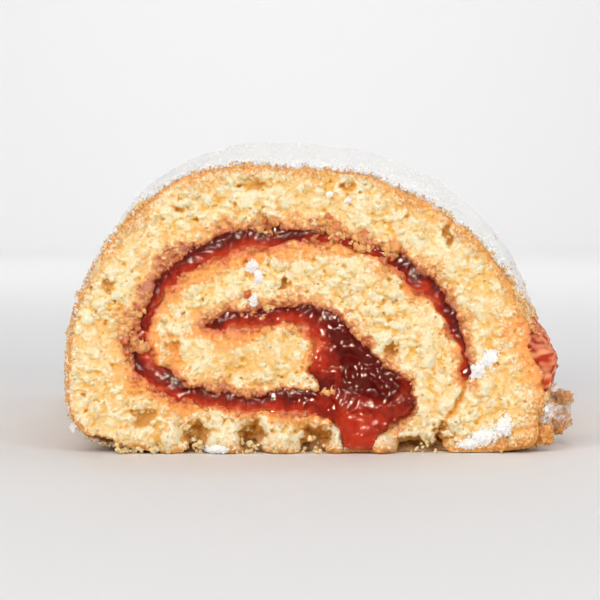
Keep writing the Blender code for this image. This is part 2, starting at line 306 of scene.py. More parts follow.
def softMin(a, b, width):
    # the smaller of two distances, rounded where they are nearly equal
    blend = np.clip(0.5 + (b - a) / (2 * width), 0, 1)
    return mix(b, a, blend) - width * blend * (1 - blend)


def poolDistance(x, z):
    # a circle with three corners: size + corner cos(3 (angle - turned)) + lean cos(angle + turned)
    px, pz = jamShape["poolMiddle"]
    angle = np.arctan2(z - pz, x - px)
    reach = jamShape["poolSize"] + jamShape["poolCorner"] * np.cos(3 * (angle - jamShape["poolTurned"]))
    return np.hypot(x - px, z - pz) - reach - jamShape["poolLean"] * np.cos(angle + jamShape["leanTurned"])


def dripDistance(x, z):
    # distance to the sides of the drip, whose half width goes as height^0.6 up to 10 mm
    height = np.clip(z, 0.05, None)
    half = jamShape["dripHalf"] * np.minimum(height / 10, 1) ** 0.6
    middle = 17.0 + 2.6 * smooth(height / 12) + 0.5 * np.sin(height * 0.9)
    return np.maximum(np.abs(x - middle) - half, z - jamShape["dripTop"])


def jamFields(x, z):
    # distance to the jam (below 0 inside it), the share across its layer towards its dark side, which is
    # the outer one and along the foot the inner one, and distance to the drip
    wx, wz = stirred(x, z, 5.0, 25.0, jamShape["ragged"])
    turn, _, turnAcross = awayFromRoute(wx, wz, turnRoute(260))
    fold, foldShare, foldAcross = awayFromRoute(wx, wz, curveThrough(jamShape["fold"], 90))
    fold = fold + 1.6 * (1 - smooth(foldShare * 9 + 0.1))
    pool = poolDistance(wx, wz)
    apart = smooth(pool / 3)
    onFoot = smooth((20 - z) / 6) * (x < 12)
    layer = np.where(fold < turn, foldAcross, turnAcross) * (1 - 2 * onFoot) * apart
    covered = jamShape["glowing"] * (1 - 0.4 * onFoot) * smooth(-1.6 * layer)
    covered = covered + jamShape["crumbled"] * smooth(1.6 * layer)
    covered = addPlaces(covered, x, z, jamShape["thinned"], 1.4)
    layers = softMin(turn, fold, 1.0) + covered * apart
    return softMin(layers, pool, 1.2), np.clip(layer, -1.6, 1.6), dripDistance(wx, wz)


# the larger forms of the cut face
faceForms = [
    # x, z, half-width, half-height and how far it stands out (or, below zero, in)
    (-27.5, 7.0, 3.4, 2.4, -1.8),   # hollows along the foot
    (-16.0, 3.4, 2.2, 3.4, -3.4),
    (-4.6, 3.6, 2.6, 3.2, -4.2),
    (8.0, 2.6, 3.6, 2.6, -4.4),
    (29.0, 1.4, 5.0, 1.9, -5.0),
    (34.0, 2.6, 1.3, 3.4, -2.8),
    (-21.6, 5.0, 2.7, 5.0, 1.6),    # the torn sponge that stands between them
    (-10.6, 5.0, 3.5, 5.0, 1.5),
    (1.4, 4.6, 3.2, 4.6, 2.3),
    (6.0, 8.0, 2.0, 2.0, 1.0),
    (12.4, 2.4, 2.0, 2.6, 2.0),
    (21.2, 2.0, 2.0, 2.4, 2.4),
    (35.4, 45.0, 1.0, 2.6, -1.8),   # slit-like and round pores
    (23.5, 21.0, 1.3, 1.5, -2.2),
    (13.8, 54.2, 2.6, 0.9, -1.2),
    (-4.8, 55.2, 3.2, 1.2, -1.2),
    (-20.0, 50.0, 2.6, 1.0, -1.0),
    (-34.0, 34.0, 1.6, 1.2, -1.4),
    (1.8, 35.0, 1.0, 1.3, -1.8),
    (-21.5, 22.0, 1.2, 2.2, -1.4),
]

crumbTints = [
    # x, z, radius and how golden the crumb is there
    (-38.0, 20.0, 9.0, 0.5),
    (-31.0, 9.0, 8.0, 0.4),
    (-4.0, 18.0, 9.0, 0.65),
    (10.0, 56.0, 8.0, 0.5),
    (-14.0, 57.0, 6.0, 0.4),
    (28.0, 50.0, 6.0, 0.4),
    (50.0, 12.0, 7.0, 0.4),
    (48.0, 33.0, 5.0, 0.4),
    (44.0, 22.0, 7.0, -0.3),
    (-22.0, 4.0, 8.0, 0.5),
    (0.0, 3.0, 9.0, 0.4),
    (28.0, 6.0, 7.0, 0.5),
    (0.0, 36.0, 10.0, -0.5),
    (22.0, 30.0, 7.0, -0.4),
    (-30.0, 44.0, 8.0, -0.2),
]

footNotches = [
    # x, half-width and height of the places where the foot is torn away
    (-37.0, 4.5, 3.4),
    (-16.4, 1.8, 2.2),
    (-4.6, 2.2, 3.4),
    (7.8, 3.0, 3.0),
    (28.6, 4.2, 2.4),
    (33.8, 1.0, 4.4),
]

crumbRelief = {
    "spacing": (0.25, 0.34),    # of the front face's lattice and of the back one's
    "inset": 0.15,          # the slab of crumb ends this far inside the crust
    "walls": [(0.4, 0.99), (1.0, 0.95), (1.1, 0.5)],    # its rings: share of the depth and of the width
    "wallDepth": 9.0,
    "notch": 4.0,           # how far the foot is torn away at a notch
    "waves": [(7.0, 0.8), (3.4, 0.40)],
    "clumps": [(3.4, 0.55), (1.8, 0.40), (0.9, 0.26)],   # size and height
    "grain": [(0.9, 0.16), (0.5, 0.16)],
    "pores": [               # spacing, radius, share of the places that have one, and depth
        (3.4, 0.70, 0.40, 1.8),
        (2.0, 0.45, 0.45, 1.5),
        (1.2, 0.27, 0.6, 1.6),
    ],
    "trench": 3.0,          # how deep the crumb falls away under the jam
    "rim": 0.8,             # and towards the crust
    "seam": 1.3,
}

crumbStain = {
    "darkReach": 3.0,       # how far jam soaks in from the dark side of its layer
    "leftReach": 1.8,       # how much farther at the far left
    "glowReach": 4.2,       # and from the side where it glows through the sponge
    "smearHeight": 20.5,    # middle, half height and reach of what soaks in beside the smear
    "smearHalf": 10.5,
    "smearReach": 3.6,
}


def lattice(spacing, xs, zs):
    # evenly spaced points of the section, between two x and two z
    x, z = np.meshgrid(np.arange(*xs, spacing), np.arange(*zs, spacing), indexing="ij")
    return {"spacing": spacing, "x": x, "z": z}


def faceFields(spacing, face):
    # every field of a cut face on one lattice: face 0 is the front one and 1 the back
    fields = lattice(spacing, (-48.0, 64.0), (-1.5, 64.0))
    x, z = fields["x"], fields["z"]
    y = 90.0 * face
    across, up, share = directionInSection(x, z)
    depth = roll["length"] * face
    plain, worked = edgeOfSection(across, up, depth), crustEdge(across, up, depth)
    share = share * np.hypot(*plain) / np.hypot(*worked)
    slope = np.hypot(*np.gradient(share, spacing))
    edge = np.minimum((1 - share) / np.maximum(slope, 1e-4), z)
    fx = x + waves(x, 41.0, z, [(3.0, 1.3), (1.3, 0.7), (0.6, 0.3)])
    fz = z + waves(x, 57.0, z, [(3.0, 1.0), (1.3, 0.6), (0.6, 0.3)])
    for middle, halfWidth, height in footNotches:
        at = middle if face == 0 else 8.0 - middle
        edge = edge - crumbRelief["notch"] * smooth(1.3 - np.hypot((fx - at) / halfWidth, fz / height))
    jam, layer, drip = jamFields(x, z)
    seamRoute = np.c_[curveThrough(jamShape["seam"], 80), np.zeros(80)]
    seam, _, _ = awayFromRoute(x + waves(x, 9.0, z, [(2.5, 0.6)]), z, seamRoute)
    # stirred a little, so that the crumb's cells aren't round, and more torn in some stretches than in others
    sx, sz = stirred(x, z, y + 3, y + 13, [(2.2, 0.5), (0.9, 0.2)])
    relief = waves(x, y, z, crumbRelief["waves"])
    openness = smooth(0.5 + 0.9 * softNoise(x / 9, y + 2.0, z / 9))
    for number, (size, height) in enumerate(crumbRelief["clumps"]):
        relief += height * clumps(sx, y, sz * 1.15, size, number * 5) * mix(0.7, 1.3, openness)
    relief += waves(sx, y, sz, crumbRelief["grain"])
    holes = 0.0
    for number, (spacingOf, radius, often, deep) in enumerate(crumbRelief["pores"]):
        holes = np.maximum(holes, deep * pores(sx, y, sz * 1.2, spacingOf, radius, often, 11 + number * 3))
    holes = holes * mix(0.6, 1.25, openness)
    relief -= 0.6 * holes
    # how deep the sunken forms go, which feeds the painted shade of the hollows
    torn = 0.0
    if face == 0:
        for middle, height, halfWidth, halfHeight, out in faceForms:
            form = out * smooth(1.35 - np.hypot((fx - middle) / halfWidth, (fz - height) / halfHeight))
            form = form * (1 + 0.35 * softNoise(x / 1.7, 21.0 + middle, z / 1.7))
            relief += form
            torn = torn - np.minimum(form, 0)
        relief -= 0.9 * smooth(0.6 - drip / 2)
    relief -= crumbRelief["seam"] * smooth(1 - np.abs(seam) / 1.1) * smooth((z + 2) / 4)
    glowing = smooth(0.5 - 0.8 * layer)
    relief -= crumbRelief["trench"] * smooth(mix(0.5, 0.36, glowing) - jam / mix(1.6, 3.0, glowing))
    relief -= crumbRelief["rim"] * (1 - smooth(edge / 1.6)) ** 2
    # Painted shade and highlight: how far each point lies below its blurred surroundings, with the pores
    # added, colours pits golden and deep brown as if shaded and ridges paler as if lit.
    finer = blur(relief, 0.55 / spacing)
    cavityShade = (finer - relief) * 0.9 + (blur(relief, 1.2 / spacing) - finer) * 0.8
    cavityShade = np.clip(cavityShade + 0.5 * holes, -1, 1)
    # painted shade: darker in broad recesses and in the sunken forms of the face, such as the torn hollows
    # along the foot
    hollowShade = np.clip((blur(relief, 3.0 / spacing) - relief) * 0.35 + 0.28 * torn, -1, 1)
    return fields | {
        "face": face, "edge": edge, "jam": jam, "layer": layer, "drip": drip, "seam": seam,
        "relief": relief, "cavityShade": cavityShade, "hollowShade": hollowShade,
    }


def sample(fields, name, x, z):
    # bilinear reading of a field at any points of the section
    image = fields[name]
    i = np.clip((x - fields["x"][0, 0]) / fields["spacing"], 0, image.shape[0] - 1.001)
    j = np.clip((z - fields["z"][0, 0]) / fields["spacing"], 0, image.shape[1] - 1.001)
    a, b = i.astype(int), j.astype(int)
    u, v = i - a, j - b
    low = mix(image[a, b], image[a + 1, b], u)
    return mix(low, mix(image[a, b + 1], image[a + 1, b + 1], u), v)


def makePiece(name, points, faces, masks=None, smoothShaded=True):
    # points in metres, faces as rows of indices (quads, or triangles), masks by name, one number a point
    mesh = bpy.data.meshes.new(name)
    loops = np.concatenate([np.asarray(f).ravel() for f in faces])
    sizes = np.concatenate([np.full(len(f), f.shape[1]) for f in faces])
    mesh.vertices.add(len(points))
    mesh.vertices.foreach_set("co", np.asarray(points, np.float32).ravel())
    mesh.loops.add(len(loops))
    mesh.loops.foreach_set("vertex_index", loops.astype(np.int32))
    mesh.polygons.add(len(sizes))
    mesh.polygons.foreach_set("loop_start", np.concatenate([[0], np.cumsum(sizes)[:-1]]).astype(np.int32))
    mesh.update(calc_edges=True)
    for mask, values in (masks or {}).items():
        attribute = mesh.attributes.new(mask, "FLOAT", "POINT")
        attribute.data.foreach_set("value", np.asarray(values, np.float32).ravel())
    mesh.polygons.foreach_set("use_smooth", np.full(len(sizes), smoothShaded))
    mesh.validate()
    piece = bpy.data.objects.new(name, mesh)
    bpy.context.scene.collection.objects.link(piece)
    print(f"{name}: {int((sizes - 2).sum())} triangles")
    return piece


def latticeCells(distance):
    # the lattice cells whose middle lies inside, with corners that touch only diagonally filled in
    middle = (distance[:-1, :-1] + distance[1:, :-1] + distance[:-1, 1:] + distance[1:, 1:]) / 4
    inside = middle < 0
    for _ in range(4):
        a, b, c, d = inside[:-1, :-1], inside[1:, :-1], inside[:-1, 1:], inside[1:, 1:]
        pinched = (a & d & ~b & ~c) | (b & c & ~a & ~d)
        for part in (a, b, c, d):
            part |= pinched
    return inside


def snapped(fields, distance, inside):
    # lattice points moved so that the outline of the cells runs on the line where the distance is 0
    spacing = fields["spacing"]
    touched = np.zeros(distance.shape, int)
    for i, j in itertools.product((0, 1), repeat=2):
        touched[i:touched.shape[0] - 1 + i, j:touched.shape[1] - 1 + j] += inside
    border = (touched > 0) & (touched < 4)
    gx, gz = np.gradient(distance, spacing)
    steep = np.maximum(gx**2 + gz**2, 0.2)
    limit = 0.7 * spacing
    x = fields["x"] - np.where(border, np.clip(distance * gx / steep, -limit, limit), 0)
    z = fields["z"] - np.where(border, np.clip(distance * gz / steep, -limit, limit), 0)
    return x, z, touched > 0


def latticeSheet(fields, distance):
    # the cells where the distance is below 0: their points, which lattice points those are, one quad a cell,
    # and the points of the outline with its edges, which are the sides of cells that have no neighbour
    inside = latticeCells(distance)
    x, z, used = snapped(fields, distance, inside)
    number = np.full(used.shape, -1)
    number[used] = np.arange(used.sum())
    i, j = np.nonzero(inside)
    corners = [(0, 0), (1, 0), (1, 1), (0, 1)]
    quads = np.stack([number[i + a, j + b] for a, b in corners], axis=1)
    wide = np.pad(inside, 1)
    edges = []
    for place, (stepX, stepZ) in enumerate([(0, -1), (1, 0), (0, 1), (-1, 0)]):
        bare = ~wide[i + 1 + stepX, j + 1 + stepZ]
        edges.append(quads[bare][:, [place, (place + 1) % 4]])
    border, edges = np.unique(np.concatenate(edges), return_inverse=True)
    return x[used], z[used], used, quads, border, edges.reshape(-1, 2)


def wall(near, far):
    # quads between two rows of edges
    return np.stack([near[:, 1], far[:, 1], far[:, 0], near[:, 0]], axis=1)


def closedSheet(name, outer, inner, quads, edges, masks):
    # a sheet, the same sheet behind it, and the wall between their edges
    total = len(outer)
    faces = [quads, (quads + total)[:, ::-1], wall(edges, edges + total)]
    twice = {m: np.concatenate([v, v]) for m, v in masks.items()}
    return makePiece(name, np.concatenate([outer, inner]), faces, twice)


def makeFace(name, fields):
    # a slab of crumb: the relief on the lattice, a wall behind its outline, and a cone to a point inside
    face = fields["face"]
    toward = 1 - 2 * face
    start = roll["length"] * face
    fx, fz, used, quads, border, edges = latticeSheet(fields, crumbRelief["inset"] - fields["edge"])
    deepEnough = smooth(fields["edge"][used] / 1.5)
    ragged = [(1.4, 0.22), (0.7, 0.12)]
    fx = fx + deepEnough * waves(fx, 71.0 + start, fz, ragged)
    fz = fz + deepEnough * waves(fx, 83.0 + start, fz, ragged)
    depth = start - toward * fields["relief"][used]
    points = [inFrame(*followRoll(fx, fz, depth), depth)]
    if face:
        quads, edges = quads[:, ::-1], edges[:, ::-1]
    faces = [quads]
    last = border[edges]
    total = len(fx)
    wallEnd = start + toward * crumbRelief["wallDepth"]
    for reached, shrink in crumbRelief["walls"]:
        bx, bz = fx[border] * shrink, roll["widestZ"] + (fz[border] - roll["widestZ"]) * shrink
        at = mix(depth[border], wallEnd, reached)
        points.append(inFrame(*followRoll(bx, bz, at), at))
        faces.append(wall(last, edges + total))
        last = edges + total
        total += len(border)
    points.append(inFrame(np.array([0.0]), np.array([roll["widestZ"]]), np.array([wallEnd + toward])))
    faces.append(np.stack([last[:, 1], np.full(len(last), total), last[:, 0]], axis=1))
    masks = faceMasks(fields, used)
    ringed = {m: np.concatenate([v] + [v[border]] * 3 + [v[:1]]) for m, v in masks.items()}
    return makePiece(name, np.concatenate(points), faces, ringed)


def faceMasks(fields, used):
    # what the crumb's material needs to know at each point of a cut face
    x, z, edge, jam, layer, seam = (fields[n][used] for n in ("x", "z", "edge", "jam", "layer", "seam"))
    y = 90.0 * fields["face"]
    patchy = 1 + 0.65 * softNoise(x / 4, y + 1.5, z / 4) + 0.4 * softNoise(x / 1.3, y + 4.5, z / 1.3)
    darkReach = crumbStain["darkReach"] + crumbStain["leftReach"] * smooth((-16 - x) / 8)
    reach = np.where(layer > 0, darkReach, crumbStain["glowReach"]) * np.clip(patchy, 0.4, 1.6)
    reach = reach * (1 - 0.45 * smooth((x + 20) / 6) * (z < 14) * (layer <= 0))
    reach = reach * (1 - 0.40 * smooth((x - 18) / 6) * (layer <= 0))
    reach = reach * (1 - 0.50 * smooth(1.5 - np.hypot(x - 4, z - 20) / 9))
    grains = clumps(x, y + 3.0, z, 1.2, 4) + 0.6 * softNoise(x / 0.7, y + 6.5, z / 0.7)
    stain = np.clip(np.where(layer > 0, 1.35, 1.15) - np.maximum(jam, 0) / reach, 0, 1)
    grainy = np.where(layer > -0.2, 0.55, 0.30)
    stain = stain - grainy * smooth(0.4 + grains) * stain * smooth((jam - 0.6) / 0.8)
    outerSide = smooth(0.45 + 0.4 * layer + 0.3 * softNoise(x / 3, y + 8.5, z / 3))
    seamStain = 0.55 * np.exp(-np.abs(seam) / 0.8) * smooth((19 - z) / 3)
    soakedIn = np.zeros(x.shape)
    if fields["face"] == 0:
        beside = smooth(1.4 - np.abs(z - crumbStain["smearHeight"]) / crumbStain["smearHalf"]) * (x > 30)
        sideReach = crumbStain["smearReach"] * np.clip(patchy, 0.4, 1.5) * beside + 0.1
        soakedIn = 0.9 * beside * np.exp(-((np.maximum(edge - 0.8, 0) / sideReach) ** 1.3))
    tint = 0.35 * softNoise(x / 6, y + 2.5, z / 6) + 0.45 * softNoise(x / 2.0, y + 7.5, z / 2.6) + 0.15
    tint = addPlaces(tint, x, z, crumbTints, 1.4)
    wide = mix(1.1, 1.9, smooth((x + 44) / 18)) + 2.4 * smooth((x - 47) / 5) * smooth((13 - z) / 5)
    crustReach = wide * np.clip(patchy + 0.7 * softNoise(x / 9, y + 3.5, z / 9) + 0.3 * (x > 20), 0.3, 2.4)
    return {
        "stain": np.clip(np.maximum(stain, soakedIn), 0, 1),
        "brownness": outerSide * (1 - smooth(soakedIn * 3)),
        "crustTone": np.clip(np.exp(-(edge - 0.2) / crustReach) * 1.1 * (1 - soakedIn) + seamStain, 0, 1),
        "cavityShade": fields["cavityShade"][used],
        "hollowShade": fields["hollowShade"][used],
        "golden": np.clip(tint, 0, 1),
    }


print("working out the front face")
frontFields = faceFields(crumbRelief["spacing"][0], 0)
crumbFront = makeFace("crumb_front", frontFields)
print("working out the back face")
backFields = faceFields(crumbRelief["spacing"][1], 1)
crumbBack = makeFace("crumb_back", backFields)


crust = {
    "around": 424,
    "along": 216,
    "bumps": [(5.0, 0.35), (2.2, 0.28), (1.0, 0.20)],
    "sugarThick": 0.6,
    "turnedIn": [(3.0, 2.2), (1.2, 0.25), (0.4, -0.15)],    # how far in and along the ends' last rings go
}


def evenDirections(count):
    # directions whose points are equally far apart round the section, starting under the foot
    angle = np.linspace(-math.pi / 2, 1.5 * math.pi, 6000)
    x, above = edgeOfSection(np.cos(angle), np.sin(angle), 20.0)
    above = np.maximum(above, -roll["widestZ"])
    gone = np.concatenate([[0], np.cumsum(np.hypot(np.diff(x), np.diff(above)))])
    return np.interp(np.linspace(0, gone[-1], count, endpoint=False), gone, angle)


def sugarCover(x, z, depth, across, up):
    # icing sugar: thick on the crown and on the right shoulder, patchy down the flanks, none underneath;
    # broken near the cut. From 0 to 1
    patch = 0.45 * softNoise(x / 11, depth / 11, z / 11) + 0.3 * softNoise(x / 3.5, depth / 3.5, z / 3.5)
    fine = 0.7 * softNoise(x / 1.2, depth / 1.2, z / 1.2)
    low = mix(-0.42, 0.02, smooth(0.5 + across))
    steep = mix(1.55, 1.30, smooth(0.5 + across))
    nearCut = 1 - smooth((depth - 0.5) / 5.0)
    return smooth(low + steep * up + 0.5 * patch + 0.35 * fine - nearCut * (0.35 - 0.8 * fine))


def crustPoint(across, up, depth):
    # a point of the crust with its bumps and its sugar, and how much sugar lies there
    x, above = crustEdge(across, up, depth)
    z = roll["widestZ"] + above
    cover = sugarCover(x, z, depth, across, up)
    bump = waves(x, depth, z, crust["bumps"]) + 0.3 * clumps(x, depth, z, 1.9, 3)
    powder = crust["sugarThick"] + 0.10 * clumps(x, depth, z, 1.5, 8) + waves(x, depth, z, [(0.8, 0.05)])
    thick = bump * (1 - 0.7 * cover) + cover * powder
    grown = 1 + thick / np.hypot(x, above)
    above = above * grown
    onFoot = smooth((-roll["widestZ"] + 1.2 - above) / 1.2)
    above = np.maximum(above, -roll["widestZ"] + 0.05 * (1 + softNoise(x / 1.5, depth / 1.5, 0.0)))
    return x * grown, roll["widestZ"] + above, cover * (1 - onFoot)


def makeCrust():
    # the outside of the roll as rings along its length; closedCrust closes them with cones inside the cut
    # faces
    angle = evenDirections(crust["around"])
    across, up = np.cos(angle), np.sin(angle)
    rim = 0.9 + 0.6 * softNoise(across * 9, up * 9, 2.0) + 0.45 * softNoise(across * 31, up * 31, 5.0)
    rim = rim + 3.0 * smooth((-up - 0.35) / 0.3) * (1 + 0.5 * softNoise(across * 14, up * 9, 8.0))
    s = np.linspace(0, 1, crust["along"])
    along = roll["length"] * (0.35 * s + 0.65 * smooth(s))
    depth = along[:, None] + rim * (1 - s[:, None]) ** 6 - rim[::-1] * s[:, None] ** 6
    x, z, cover = crustPoint(*np.broadcast_arrays(across, up, depth))
    return x, z, depth, cover


def ringsPiece(name, points, start, end, masks):
    # rings of points (ring, around, 3), closed round and ending in the points start and end
    rings, around = points.shape[:2]
    number = np.arange(rings * around).reshape(rings, around)
    turned = np.roll(number, -1, axis=1)
    quads = np.stack([number[:-1], turned[:-1], turned[1:], number[1:]], axis=-1).reshape(-1, 4)
    first, last = rings * around, rings * around + 1
    caps = [
        np.stack([turned[0], number[0], np.full(around, first)], axis=1),
        np.stack([number[-1], turned[-1], np.full(around, last)], axis=1),
    ]
    flat = np.concatenate([points.reshape(-1, 3), [start, end]])
    filled = {m: np.concatenate([v.ravel(), [0, 0]]) for m, v in masks.items()}
    return makePiece(name, flat, [quads, *caps], filled)


print("working out the crust")
crustX, crustZ, crustDepth, crustCover = makeCrust()
middleZ = roll["widestZ"]


def onCrust(ring, place, out, along=0.0):
    # points of the crust moved out from the roll's middle line, and along the roll
    x, z, depth = crustX[ring, place], crustZ[ring, place], crustDepth[ring, place]
    share = 1 + out / np.hypot(x, z - middleZ)
    return x * share, middleZ + (z - middleZ) * share, depth + along


def closedCrust():
    # the crust's rings and, at each end, three more that turn in behind the cut face
    whole = slice(None)
    frontRings = [onCrust(0, whole, -away, deeper) for away, deeper in crust["turnedIn"]]
    backRings = [onCrust(-1, whole, -away, -deeper) for away, deeper in crust["turnedIn"][::-1]]
    x, z, depth = (
        np.concatenate([[ring[n] for ring in frontRings], full, [ring[n] for ring in backRings]])
        for n, full in enumerate((crustX, crustZ, crustDepth))
    )
    masks = {
        "sugar": np.concatenate([crustCover[:1] * 0.6] * 3 + [crustCover] + [crustCover[-1:]] * 3),
        # darker towards the bottom: partly a browner underside, partly painted shade at the foot
        "footBrowningAndShade": 1 - smooth((z - 1.0) / 5.0),
        "tone": 0.5 + 0.45 * softNoise(x / 6, depth / 6, z / 6) - 0.4 * (1 - smooth(depth / 7)),
    }
    ends = (inFrame(0.0, middleZ, inner) for inner in (6.0, roll["length"] - 6.0))
    return ringsPiece("crust", inFrame(x, z, depth), *ends, masks)


crustBody = closedCrust()


# the jam's skin
jamRelief = {
    "spacing": 0.26,
    "dripSpacing": 0.2,
    "overlap": 0.45,        # how far the jam goes into the sponge beside it
    "rings": [3.0, 10.0, 21.0, 32.0, 42.0, 90.0, 132.0, 136.0],
    "waves": [(4.5, 0.6), (2.4, 0.28), (1.3, 0.06)],
    "ridges": [(3.4, 0.45), (1.6, 0.36)],
    "folds": [              # from x, z to x, z: wrinkles of the skin, 0.7 high
        (14.2, 24.6, 16.6, 22.6),
        (14.0, 21.6, 16.8, 21.9),
        (11.6, 17.6, 14.4, 15.0),
        (12.6, 15.6, 15.8, 13.0),
        (19.0, 15.6, 22.0, 12.6),
        (23.4, 14.4, 27.6, 11.4),
        (17.6, 18.2, 20.4, 17.4),
        (25.2, 12.2, 26.6, 9.0),
        (6.4, 25.6, 9.4, 24.6),
        (7.2, 20.6, 8.2, 17.4),
    ],
    "depths": [             # x, z, radius and how dark (or, below zero, bright) the jam is there
        (14.8, 25.0, 4.2, 0.9),
        (17.5, 20.5, 5.0, 1.1),
        (21.5, 15.5, 4.6, 0.8),
        (16.5, 15.0, 3.4, 0.5),
        (8.6, 22.5, 4.2, -0.10),
        (10.0, 15.0, 4.0, -0.10),
        (17.0, 4.0, 6.5, -0.40),
        (24.0, 8.5, 3.5, -0.10),
        (3.0, 45.0, 6.0, 0.35),
        (26.0, 38.0, 4.0, 0.4),
        (35.0, 27.0, 3.5, 0.35),
        (-19.0, 14.0, 6.0, 0.15),
        (-13.0, 27.0, 3.0, 0.45),
    ],
}


def jamSurface(x, z, inward, face):
    # how far the jam stands out: domed from its edges, with soft lumps and the ridges of |noise|
    y = 140.0 + 60.0 * face
    wx, wz = stirred(x, z, y + 3, y + 9, [(4.0, 1.2)])
    lumps = waves(wx, y, wz, jamRelief["waves"])
    calm = smooth(1.5 - np.hypot((x - 17) / 11, (z - 14) / 14))     # the pool is smoother than the layers
    for number, (size, height) in enumerate(jamRelief["ridges"]):
        ridge = 1 - np.abs(softNoise(wx / size + 5 * number, y, wz / size)) * 2.0
        lumps = lumps + height * (1 - 0.5 * number * calm) * (smooth(ridge) - 0.4)
    if face == 0:
        for x0, z0, x1, z1 in jamRelief["folds"]:
            run, rise = x1 - x0, z1 - z0
            share = np.clip(((wx - x0) * run + (wz - z0) * rise) / (run**2 + rise**2), 0, 1)
            away = np.hypot(wx - x0 - share * run, wz - z0 - share * rise)
            lumps = lumps + 0.7 * np.exp(-((away / 0.75) ** 2)) * (1 - 0.5 * (2 * share - 1) ** 2)
    inside = smooth((inward + 0.3) / 1.8)
    return -0.5 + 0.75 * (1 - np.exp(-np.maximum(inward, 0) / 0.7)) + lumps * (0.2 + 0.8 * inside)


def jamDark(x, z, inward, layer, face):
    # how deep the jam looks, from 0, a bright thin film, to 1, nearly black: darkest near a layer's dark side
    y = 200.0 + 60.0 * face
    dark = 0.64 + 0.22 * softNoise(x / 3.0, y, z / 3.0) + 0.12 * softNoise(x / 1.2, y, z / 1.2)
    dark = dark + 0.60 * np.clip(layer, -1.0, 1.0)
    dark = addPlaces(dark, x, z, jamRelief["depths"], 1.3)
    return np.clip(dark - 0.12 * (1 - smooth(inward / 1.0)), 0, 1)


def makeJam():
    # one body: the same lattice cells at both cut faces, joined by walls that follow the roll
    flat = lattice(jamRelief["spacing"], (-36.0, 46.0), (2.0, 52.0))
    distance, layer, _ = jamFields(flat["x"], flat["z"])
    distance = distance - jamRelief["overlap"]
    fx, fz, used, quads, border, edges = latticeSheet(flat, distance)
    inward, layer = -distance[used], layer[used]
    front = -jamSurface(fx, fz, inward, 0)
    back = roll["length"] + jamSurface(fx, fz, inward, 1)
    points = [inFrame(*followRoll(fx, fz, front), front)]
    dark = [jamDark(fx, fz, inward, layer, 0)]
    faces = [quads]
    last = border[edges]
    total = len(fx)
    for deep in jamRelief["rings"]:
        at = np.full(len(border), deep)
        points.append(inFrame(*followRoll(fx[border], fz[border], at), at))
        dark.append(np.full(len(border), 0.5))
        faces.append(wall(last, edges + total))
        last = edges + total
        total += len(border)
    points.append(inFrame(*followRoll(fx, fz, back), back))
    dark.append(jamDark(fx, fz, inward, layer, 1))
    faces += [(quads + total)[:, ::-1], wall(last, border[edges] + total)]
    return makePiece("jam", np.concatenate(points), faces, {"dark": np.concatenate(dark)})


print("working out the jam")
jamBody = makeJam()


def makeDrip():
    # the run of jam down the front face: a lattice body, thick in the middle and closed behind
    flat = lattice(jamRelief["dripSpacing"], (5.0, 31.0), (0.2, 15.6))
    x, z = flat["x"], flat["z"]
    ragged = stirred(x, z, 5.0, 25.0, jamShape["ragged"])
    distance = np.maximum(dripDistance(*ragged), 0.75 - z)
    fx, fz, used, quads, border, edges = latticeSheet(flat, distance)
    inward = -distance[used]
    sides = inward + 6.0 * smooth((fz - 9.0) / 5.0)
    bulge = 2.1 * np.sqrt(np.clip(sides / 3.2, 0, 1)) * smooth((15.0 - fz) / 6.0)
    bulge = bulge - 0.6 * smooth((fz - 11.0) / 4.0)
    bulge = bulge + waves(fx, 170.0, fz, [(3.0, 0.5), (1.4, 0.25)]) * smooth((13.0 - fz) / 4.0)
    whole = smooth(inward / 0.5)
    thick = (jamSurface(fx, fz, sides + 0.4, 0) + bulge) * whole - 0.5 * (1 - whole)
    front = inFrame(fx, fz, -thick)
    back = inFrame(fx, fz, np.full(len(fx), 1.6))
    dark = jamDark(fx, fz, sides, 0.0, 0)
    return closedSheet("jam_drip", front, back, quads, border[edges], {"dark": dark})


jamDrip = makeDrip()


# the jam squeezed out on the right side
smear = {
    "size": (110, 110),
    "middle": (20.2, 4.6),          # z and depth
    "halfHeight": 9.4,
    "halfDepth": 6.0,
    "thick": 2.3,
    "lumps": [(3.2, 0.5, 3.0), (1.5, 0.35, 9.0), (0.7, 0.08, 4.0)],    # spacing, height and place
}


